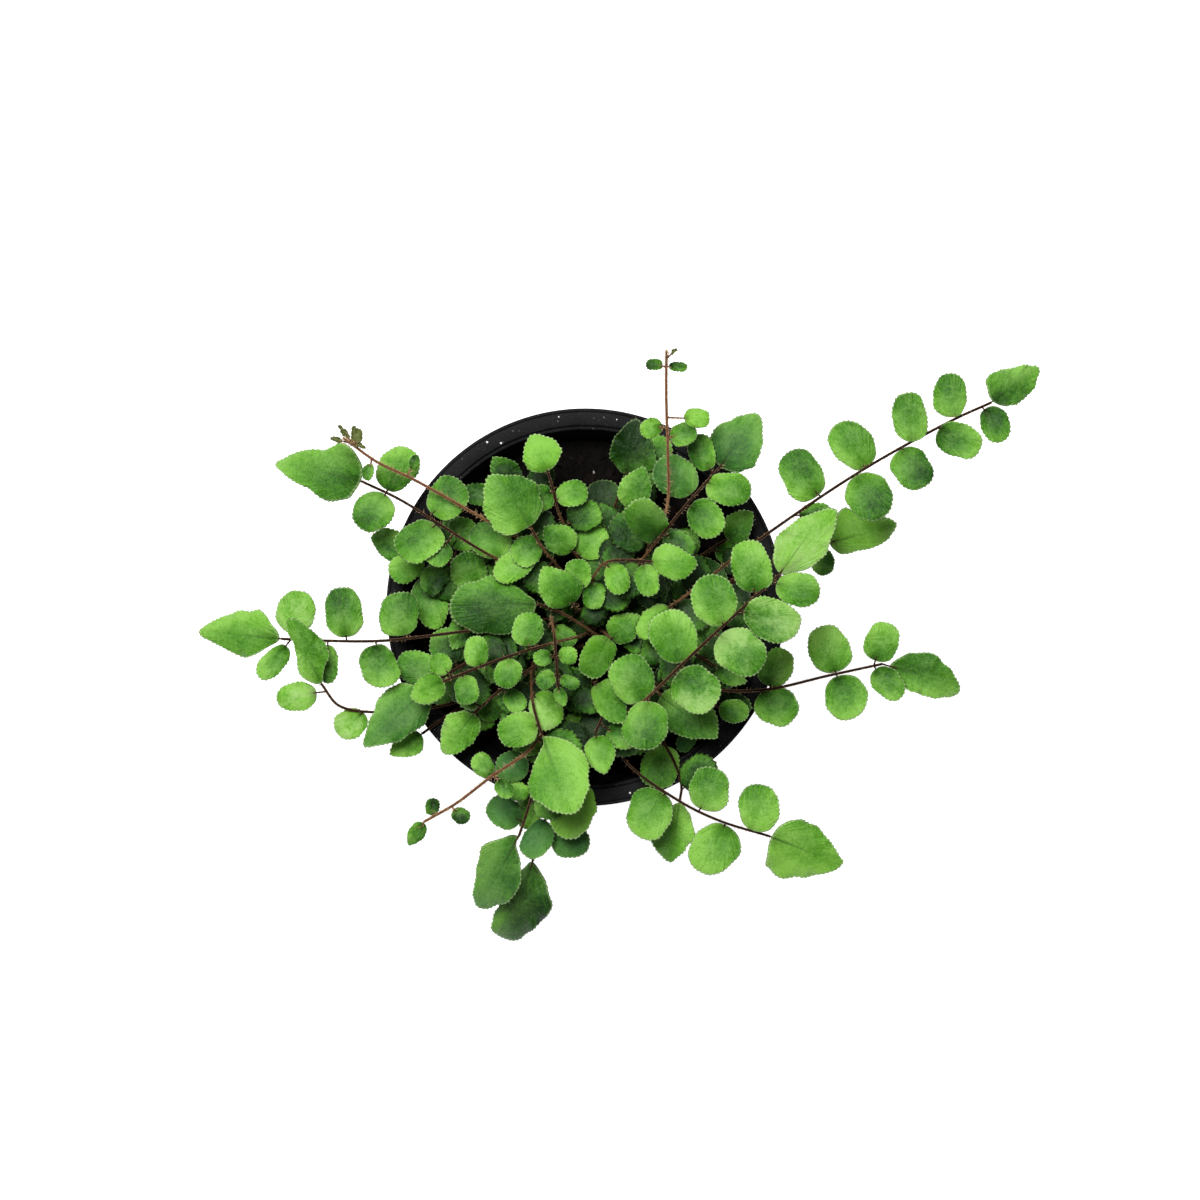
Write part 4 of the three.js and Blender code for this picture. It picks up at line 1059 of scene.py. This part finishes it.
def blade(leaf, luck):
    """Corners, faces and values of one leaflet: rings round its middle, on both of its faces."""
    toothed, plain = edge_line(leaf, luck)
    count = len(plain)
    top, bottom = (low_top_rings, low_under_rings) if leaf.get("low") else (top_rings, under_rings)
    rings = [(rho, 1) for rho in top] + [(1, 0)] + [(rho, -1) for rho in bottom]
    middle_point = np.zeros((1, 2))
    flat = [middle_point]
    for rho, _ in rings:
        sharp = max(0, (rho - sharp_from) / sharp_over)
        flat.append((plain * (1 - sharp) + toothed * sharp) * rho)
    flat = np.concatenate(flat + [middle_point])
    rho = np.array([0.0] + [ring[0] for ring in rings for _ in range(count)] + [0.0])
    face = np.array([1.0] + [ring[1] for ring in rings for _ in range(count)] + [-1.0])
    s = flat[:, 0] / leaf["length"] + 0.5
    side = flat[:, 1]
    height = surface(leaf, luck, flat, s, rho, face)
    middle, along, across, up = leaf["spread"]
    corners = middle + flat[:, :1] * along + side[:, None] * across + height[:, None] * up
    faces = []
    last = 1 + (len(rings) - 1) * count
    for k in range(count):
        after = (k + 1) % count
        faces.append((0, 1 + after, 1 + k))
        faces += [(r + k, r + after, r + count + after, r + count + k) for r in range(1, last, count)]
        faces.append((last + count, last + k, last + after))
    lean = luck.uniform(*any_phase)
    tone, grey, pale = tones[leaf["tone"]]
    values = {
        "tone": tone + luck.uniform(-tone_luck, tone_luck),
        "grey": grey,
        # the strength of a painted sheen patch on this blade
        "pale": pale,
        "luck": luck.uniform(0, 100),
        "rho": rho,
        # a gradient of painted shade and painted light across the blade, in a drawn direction
        "slant": math.cos(lean) * (s - 0.5) + math.sin(lean) * side / leaf["width"],
        "tooth": np.concatenate(([0.5], np.tile((0.0, 0.5, 1.0), count // 3 * len(rings)), [0.5])),
        "under": face < 0,
        "ribbed": 1.0 if is_large(leaf) else faint_rib,
    }
    values = {key: np.broadcast_to(value, len(corners)).astype(float) for key, value in values.items()}
    return corners, faces, values, np.stack((s, side / leaf["width"] + 0.5), axis=1)


bristle_spacing = 1.0
bristle_length = 1.6
bristle_radius = 0.13
bristle_tip = 0.02
bristle_leans = ((0, 0.9, 0), (0, 1.5, 6.28))
shortest_bristle = 0.55
stalk_sides = 8
young_fronds = ("north_young", "northwest_young", "southwest_young")
young_spacing = 0.3  # of the bristles, as a share of the usual
young_length = 1.9


def frond_tree():
    """Adds to a frond's leaflets their stems and its stalk, swept along a curve, and the bristles."""
    growth = Growth("stalk and bristles", [
        ("Stalk", "Object"), ("Bristle spacing", "Float"), ("Bristle length", "Float"), ("Seed", "Int"),
        ("Stalk material", "Material"), ("Bristle material", "Material"),
    ])
    add, given = growth.add, growth.given

    def marked(mesh, part):
        return add("GeometryNodeStoreNamedAttribute", {
            "Geometry": mesh, "Name": "part", "Value": part,
        }, data_type="FLOAT", domain="POINT")

    line = add("GeometryNodeObjectInfo", {"Object": given["Stalk"]}, transform_space="ORIGINAL")
    line = line.outputs["Geometry"]
    ring = add("GeometryNodeCurvePrimitiveCircle", {"Resolution": stalk_sides, "Radius": MM})
    swept = add("GeometryNodeCurveToMesh", {
        "Curve": line, "Profile Curve": ring, "Scale": add("GeometryNodeInputRadius"), "Fill Caps": True,
    })
    stalk = add("GeometryNodeSetShadeSmooth", {"Geometry": marked(swept, 1.0)})
    places = add("GeometryNodeCurveToPoints", {
        "Curve": line, "Length": given["Bristle spacing"],
    }, mode="LENGTH")
    cone = add("GeometryNodeMeshCone", {
        "Vertices": 3, "Radius Top": bristle_tip * MM, "Radius Bottom": bristle_radius * MM, "Depth": 1.0,
    }, fill_type="NGON")
    turned_to = add("FunctionNodeRotateRotation", {
        "Rotation": places.outputs["Rotation"], "Rotate By": growth.drawn(*bristle_leans, given["Seed"]),
    }, rotation_space="LOCAL")
    share = add("FunctionNodeRandomValue", {
        2: shortest_bristle, 3: 1.0, "Seed": given["Seed"],
    }, data_type="FLOAT")
    size = growth.maths("MULTIPLY", share.outputs[1], given["Bristle length"])
    bristles = add("GeometryNodeInstanceOnPoints", {
        "Points": places.outputs["Points"], "Instance": marked(cone, 2.0),
        "Rotation": turned_to, "Scale": add("ShaderNodeCombineXYZ", {0: 1.0, 1: 1.0, 2: size}),
    })
    painted = growth.joined([bristles.outputs[0], stalk.outputs[0], given["Geometry"]])
    part = add("GeometryNodeInputNamedAttribute", {"Name": "part"}, data_type="FLOAT")
    for number, paint in ((0.5, "Stalk material"), (1.5, "Bristle material")):
        painted = add("GeometryNodeSetMaterial", {
            "Geometry": painted, "Selection": growth.maths("GREATER_THAN", part, number),
            "Material": given[paint],
        })
    return growth.ended(painted)


def leaf_finish():
    """Leathery leaflet: its own green, darker round the stem, paler in streaks towards the edge, with painted
    shading across each blade, painted sheen patches and painted highlights on its teeth.
    """
    start, place = finish("button fern leaflet")
    tone, grey, pale, luck, rho, under, slant, tooth, ribbed = (
        start.node("ShaderNodeAttribute", {}, {"attribute_name": name}, "Fac")
        for name in ("tone", "grey", "pale", "luck", "rho", "under", "slant", "tooth", "ribbed")
    )
    flat = start.node("ShaderNodeUVMap", {}, {"uv_map": "blade"})
    s = flat.part("X")
    side = flat.part("Y") - 0.5
    off_rib = side.maths("ABSOLUTE", side)
    outer = rho.rise(0.25, 0.95)
    edge = rho.rise(0.72, 1.0)
    cloud = start.node("ShaderNodeCombineXYZ", {"X": s * 3, "Y": side * 3, "Z": luck}).grain(0.8, 2)
    swing = side.maths("ARCTAN2", side, s + 0.08)
    ray = start.node("ShaderNodeCombineXYZ", {"X": swing * 11, "Y": s * 0.5, "Z": luck})
    streak = ray.grain(1.9, 2, 0.6)
    mottle = place.grain(900, 3, 0.55)
    fine = place.grain(2600, 2, 0.6)
    # Across each blade runs a gradient of painted shade and light, standing in for the shading of its tilt
    # and relief; the broad blotches add random tone and some painted shading too.
    shade = tone + slant * 0.56 + (cloud - 0.5) * 0.36 + (streak - 0.5) * outer * 0.46
    shade = shade + (mottle - 0.5) * 0.3 + (fine - 0.5) * 0.68 + (tooth - 0.5) * edge * 0.08
    shade = shade + outer * 0.18 - s.rise(0.4, 0.0) * off_rib.rise(0.25, 0.0) * 0.2
    green = start.node("ShaderNodeValToRGB", {"Fac": shade}, {"stops": [
        (0.0, (0.004, 0.024, 0.001)), (0.22, (0.016, 0.080, 0.003)), (0.45, (0.050, 0.190, 0.007)),
        (0.68, (0.098, 0.298, 0.016)), (0.92, (0.185, 0.455, 0.038)),
    ]})
    # Painted sheen: whitish-green patches where the blade would catch the light, as strong as its tone's
    # sheen share.
    patch = (cloud + slant * 0.35 + (mottle - 0.5) * 0.5).rise(0.3, 0.85) * pale
    rib = off_rib.rise(0.032, 0.004) * s.rise(0.72, 0.12) * ribbed
    # The whitish teeth along the margin: partly the leaf's own light edge, partly a painted highlight where
    # the edge would catch the light.
    tips = (0.4 + tooth * 0.6) * rho.rise(0.925, 0.98) * (cloud + streak * 0.4).rise(0.42, 0.75)
    notch = (1.1 - tooth) * rho.rise(0.95, 1.0) * (0.4 + mottle)
    colour = green
    # Mixed over the green in turn: the painted sheen, the greyness, the rib, the whitish teeth with their
    # painted highlight, the dark notches and the underside.
    for share, paint in (
        (patch * 0.68, (0.35, 0.53, 0.18)),
        (grey.rise(0, 1) * 0.6, (0.042, 0.150, 0.036)),
        (grey.rise(1, 2) * 0.85, (0.120, 0.130, 0.035)),
        (rib * 0.5, (0.024, 0.070, 0.010)),
        (tips * (tone * 0.6 + 0.38), (0.46, 0.66, 0.26)),
        (notch * 0.6, (0.045, 0.065, 0.012)),
        (under * 0.9, (0.10, 0.21, 0.075)),
    ):
        colour = share.mixed(colour, paint)
    ridges = streak * outer * 0.8 + tooth * edge * 0.16 + mottle * 0.45 + fine * 0.3 + cloud * 0.9
    return shaded(start, {
        "Base Color": colour,
        "Roughness": 0.36 + mottle * 0.16,
        "Specular IOR Level": 0.24,
        "Normal": ridges.relief(0.0008, 0.9),
    })


def stalk_finish(name, ridge, groove, strength, foot_darkening=0.0):
    """Wiry stalk: dark along its top and lighter at its sides, and darker towards its foot by the given
    share.
    """
    start, place = finish(name)
    low_on_stalk = place.part("Z").rise(0.116, 0.104) * foot_darkening
    spots = place.grain(1100, 3, 0.6)
    dark = (facing_up(start).rise(0.5, 0.9) * strength + (spots - 0.5) * 1.2).rise(0.1, 0.9)
    return shaded(start, {
        "Base Color": low_on_stalk.mixed(dark.mixed(ridge, groove), (0.030, 0.015, 0.009)),
        "Roughness": 0.5 + spots * 0.2,
        "Specular IOR Level": 0.07,
        "Normal": spots.relief(0.0002, 0.5),
    })


stem_radii = (0.3, 0.25, 0.22, 0.1)
stem_sag = 0.1
stem_arch = 0.25
stem_ends = (0.46, 0.3)  # from the middle of the blade back towards its base, as shares of its length


def stem(leaf, start):
    """The short stem of a leaflet, from its stalk into the base of the blade."""
    middle, along, across, up = leaf["spread"]
    base = middle - along * leaf["length"] * stem_ends[0] - up * stem_sag
    inner = middle - along * leaf["length"] * stem_ends[1] - up * stem_sag / 2
    halfway = start * 0.5 + base * 0.5 + np.array((0, 0, stem_arch))
    return list(zip((start, halfway, base, inner), stem_radii))


def make_frond(name, leaves, line, luck, stalk_paint, youth):
    """A piece of these leaflets, with their short stems and the bristly stalk along the line."""
    splines = [stem(leaf, leaf.get("start", leaf["joint"])) for leaf in leaves] + line
    blades = [blade(leaf, luck) for leaf in leaves]
    faces = []
    first = 0
    for corners, sides, _, _ in blades:
        faces += [[corner + first for corner in side] for side in sides]
        first += len(corners)
    curve = bpy.data.curves.new(name, "CURVE")
    curve.dimensions = "3D"
    for points in splines:
        spline = curve.splines.new("POLY")
        spline.points.add(len(points) - 1)
        for point, (place, radius) in zip(spline.points, points):
            point.co = (*(place * MM), 1)
            point.radius = radius
    guide = shown(name + "_line", curve)
    corners = np.concatenate([made[0] for made in blades]) * MM
    mesh = mesh_of(name, corners.tolist(), faces)
    flat = np.concatenate([made[3] for made in blades])
    uv = mesh.uv_layers.new(name="blade")
    loops = np.zeros(len(mesh.loops), int)
    mesh.loops.foreach_get("vertex_index", loops)
    uv.data.foreach_set("uv", flat[loops].ravel())
    for key in blades[0][2]:
        attribute = mesh.attributes.new(key, "FLOAT", "POINT")
        attribute.data.foreach_set("value", np.concatenate([made[2][key] for made in blades]))
    mesh.shade_smooth()
    mesh.materials.append(leaf_green)
    piece = shown(name, mesh)
    set_inputs(piece, stalks_and_bristles, {
        "Stalk": guide,
        "Bristle spacing": bristle_spacing * MM * (young_spacing if youth else 1),
        "Bristle length": (young_length if youth else bristle_length) * MM,
        "Seed": len(name),
        "Stalk material": stalk_paint,
        "Bristle material": bristle,
    })
    applied(piece)
    bpy.data.objects.remove(guide)
    return piece


def stalk_line(stalk, curled):
    """The stalk's points and radii, and the coil at the tip of a young one."""
    many = max(12, int(stalk.length / line_step))
    shares = [i / many for i in range(many + 1)]
    line = [(stalk.at(share), stalk_radius + (tip_radius - stalk_radius) * share) for share in shares]
    if curled:
        heading = unit(stalk.heading() * (1, 1, 0))
        centre = stalk.at(1) + np.array((0, 0, curl_radius))
        for i in range(1, curl_steps + 1):
            angle = curl_turn * i / curl_steps
            shrink = 1 - curl_shrink * i / curl_steps
            out = heading * math.sin(angle) * shrink - np.array((0, 0, math.cos(angle) * shrink))
            line.append((centre + out * curl_radius, coil_radius - coil_taper * i / curl_steps))
    return line


bud_fold = 0.8
bud_rise = 0.5
bud_roll = 0.6
bud_places = 6  # the last places along the stalk, where buds may join it
leaf_green = leaf_finish()
wiry = stalk_finish("wiry stalk", (0.140, 0.072, 0.034), (0.013, 0.006, 0.004), 1.0)
reddish = stalk_finish("young stalk", (0.30, 0.165, 0.075), (0.105, 0.040, 0.020), 0.8, 0.9)
bristle = stalk_finish("bristles", (0.46, 0.32, 0.17), (0.20, 0.11, 0.05), 0.3, 0.75)
stalks_and_bristles = frond_tree()
stalks = {}
draw = 20261
for name, frond in fronds.items():
    luck = random.Random(name)
    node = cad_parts["frond_" + name]
    tree = KDTree(len(node.data.vertices))
    for i, corner in enumerate(node.data.vertices):
        tree.insert(corner.co / MM, i)
    tree.balance()
    stalk = stalks[name] = Stalk(frond)
    beads = stalk.beads()
    leaves = [leaf_of(entry) for entry in frond.get("leaflets", [])]
    if "end" in frond:
        leaves.append(leaf_of(frond["end"]) | {"end": True, "outline": frond.get("outline")})
    places = [stalk.at(i / places_along) for i in range(places_along + 1)]
    for leaf, tone in zip(leaves, frond["tones"]):
        leaf["tone"] = tone
        if leaf["end"]:
            leaf["joint"] = stalk.at(1)
            slope = min(max(stalk.heading()[2], steepest[0]), steepest[1])
        else:
            leaf["joint"] = joint_of(leaf, beads, frond.get("bare", bare_stalk))
            slope = blade_rise
        leaf["z"] = leaf["joint"][2] + slope * flat_reach(leaf["joint"], leaf)
        draw = (draw * 1664525 + 1013904223) % 2 ** 32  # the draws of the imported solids
        leaf["roll"] = blade_roll * (2 * draw / 2 ** 32 - 1)
        leaf["spread"] = lifted(leaf, tree)
        leaf["start"] = min(places, key=lambda place: np.linalg.norm(place - leaf["joint"]))
    for entry in frond.get("buds", []):
        bud = leaf_of(entry) | {"fold": bud_fold, "tone": "o"}
        bud["joint"] = bud["start"] = places[-1 - luck.randrange(bud_places)]
        bud["z"] = bud["joint"][2] + bud_rise
        bud["roll"] = luck.uniform(-bud_roll, bud_roll)
        bud["spread"] = spread(bud, 0)
        leaves.append(bud)
    youth = name in young_fronds
    line = stalk_line(stalk, frond.get("curl"))
    piece = make_frond(name + "_frond", leaves, [line], luck, reddish if youth else wiry, youth)
    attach(piece, "root")
    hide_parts("frond_" + name)


# Lower leaflets. More leaflets of the same fronds, low on the stalks, where the clump above keeps them dark;
# their dark tones are partly painted shade of that clump. Each grew on its stalk by a short stem, and is set
# in a gap among the others that is wide enough for a coarse blade of its size.

lower_bottom = 83
lower_top = 112
lower_reach = 47
lower_lengths = (8, 13)
lower_gap = 1.3  # from the stalk to the blade
lower_step = 4.5  # along a stalk, from one try to the next
lower_seed = 11
tries_each = 6
fan_points = 14
fan_half = 0.5  # half the thickness of the coarse blade
fan_reach = (0.52, 0.54)  # half its length and width, as shares of the leaflet's
fan_sag = 0.03
placed = [
    (20.5, -4.5, 13, 8, "l"), (14, 8, 11, 9, "d"), (28, 18.5, 10, 9, "d"), (-45, 8, 12, 9, "l"),
    (57, -10.5, 12, 11, "m"), (34, -50, 12, 11, "d"), (-17.8, -62.2, 9.5, 9, "l"),
    (-20, -55, 7, 6, "l"),
]
bare_patches = [(-42, 16, 29, 60), (0, 60, -60, -40)]  # least and most x and y, where the mix shows
stem_gaps = (0.8, 6)  # least and most, from the stalk to a placed leaflet
stem_bottom = 84
stem_tries = 120
stem_skip = 4  # of the places that a stem may start from, each fourth is tried
stem_slopes = (0.1, -0.1, 0.3, -0.3, 0.5, -0.5)
placed_roll = 0.2
lower_angle = 1.3  # from the stalk's heading, left or right
angle_luck = 0.5
lower_slopes = (-0.25, 0.3)
lower_widths = (0.82, 0.95)  # as shares of the length
lower_roll = 0.25
# mostly the darkest tones: partly the duller green of these leaflets, partly painted shade of the clump above
lower_tones = "kkkdd"


def coarse_blade(leaf):
    """A blade's outline as a thin closed fan, for finding whether it is clear of its surroundings."""
    middle, along, across, up = leaf["spread"]
    ring = []
    for i in range(fan_points):
        angle = 2 * math.pi * i / fan_points
        out = along * math.cos(angle) * leaf["length"] * fan_reach[0]
        out = out + across * math.sin(angle) * leaf["width"] * fan_reach[1]
        ring.append(middle + out - up * fan_sag * leaf["length"])
    crest = middle + up * blade_dome * leaf["width"]
    corners = [Vector((place + up * half) * MM) for half in (fan_half, -fan_half) for place in (crest, *ring)]
    faces = []
    under = fan_points + 1
    for i in range(1, under):
        after = i % fan_points + 1
        faces += [(0, i, after), (under, under + after, under + i), (i, under + i, under + after, after)]
    return BVHTree.FromPolygons(corners, faces)


def fits(leaf):
    """Keeps a leaflet whose coarse blade is clear of all the others, and says whether it is."""
    leaf["spread"] = spread(leaf, 0)
    shape = coarse_blade(leaf)
    if any(shape.overlap(other) for other in surroundings):
        return False
    surroundings.append(shape)
    lower.append(leaf)
    return True


def joints_near(x, y, length):
    """The places on all the stalks from which a stem would reach a leaflet, the nearest first."""
    joints = []
    for stalk in stalks.values():
        for place in (stalk.at(i / stem_tries) for i in range(stem_tries)):
            gap = math.hypot(place[0] - x, place[1] - y) - length / 2
            if stem_gaps[0] < gap < stem_gaps[1] and place[2] > stem_bottom:
                joints.append((gap, tuple(place)))
    return sorted(joints)


def in_the_open(x, y):
    """Whether it is a place where the mix or the rim shows, and no low leaflet grows."""
    on_bare = any(left < x < right and near < y < far for left, right, near, far in bare_patches)
    return math.hypot(x, y) > lower_reach or on_bare


luck = random.Random(lower_seed)
plain_leaf = {"end": False, "fold": 0, "low": True}
lower = []
surroundings = []
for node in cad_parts.values():
    node_faces = [tuple(face.vertices) for face in node.data.polygons]
    surroundings.append(BVHTree.FromPolygons([corner.co for corner in node.data.vertices], node_faces))
for x, y, length, width, tone in placed:
    for gap, place in joints_near(x, y, length)[::stem_skip]:
        leaf = plain_leaf | {
            "x": x, "y": y, "joint": np.array(place), "length": length, "width": width,
            "roll": luck.uniform(-placed_roll, placed_roll), "tone": tone,
        }
        heights = [place[2] + slope * (gap + length / 2) for slope in stem_slopes]
        if any(fits(leaf | {"z": z}) for z in heights):
            break
tries = []
for stalk in stalks.values():
    for i in range(1, int(stalk.length / lower_step)):
        share = i * lower_step / stalk.length
        place = stalk.at(share)
        if lower_bottom < place[2] < lower_top and math.hypot(place[0], place[1]) < lower_reach:
            way = stalk.at(min(1, share + 0.01)) - stalk.at(share - 0.01)
            tries += [(place, math.atan2(way[1], way[0]) + turn) for turn in (-lower_angle, lower_angle)]
luck.shuffle(tries)
for place, angle in tries:
    for _ in range(tries_each):
        length = luck.uniform(*lower_lengths)
        out = luck.uniform(-angle_luck, angle_luck) + angle
        far = length / 2 + lower_gap
        leaf = plain_leaf | {
            "x": place[0] + math.cos(out) * far, "y": place[1] + math.sin(out) * far,
            "z": place[2] + far * luck.uniform(*lower_slopes), "joint": place, "length": length,
            "width": length * luck.uniform(*lower_widths), "roll": luck.uniform(-lower_roll, lower_roll),
            "tone": luck.choice(lower_tones),
        }
        if not in_the_open(leaf["x"], leaf["y"]) and fits(leaf):
            break
lower_leaflets = make_frond("lower_leaflets", lower, [], luck, wiry, False)
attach(lower_leaflets, "root")


# Setting. The pot stands on a plain white floor under a large soft light, and is seen
# from straight above.

floor_level = -0.05 * MM  # just clear of the pot's base
floor_half = 3
corners = [(x * floor_half, y * floor_half, floor_level) for x, y in ((-1, -1), (1, -1), (1, 1), (-1, 1))]
ground = shown("floor", mesh_of("floor", corners, [(0, 1, 2, 3)]))
ground.data.materials.append(shaded(finish("white floor")[0], {
    "Base Color": (0.5, 0.5, 0.5), "Roughness": 0.9,
    "Emission Color": (1, 1, 1), "Emission Strength": 1.0,
}))

scene = bpy.context.scene
scene.view_settings.view_transform = "Standard"
world = bpy.data.worlds.new("soft white")
world.use_nodes = True
sky = world.node_tree.nodes["Background"].inputs
sky["Color"].default_value = (1, 1, 1, 1)
sky["Strength"].default_value = 0.17
scene.world = world
lamp = bpy.data.lights.new("softbox", "AREA")
lamp.shape = "SQUARE"
lamp.size = 0.5
lamp.energy = 32
box = shown("softbox", lamp)
box.location = (-0.22, 0.42, 1.58)
box.rotation_euler = (Vector((0, 0, 0.1)) - box.location).to_track_quat("-Z", "Y").to_euler()
lens = bpy.data.cameras.new("camera")
lens.angle = math.radians(10.34)
camera = shown("camera", lens)
camera.location = (0.00445, 0.00217, 2.095)
scene.camera = camera
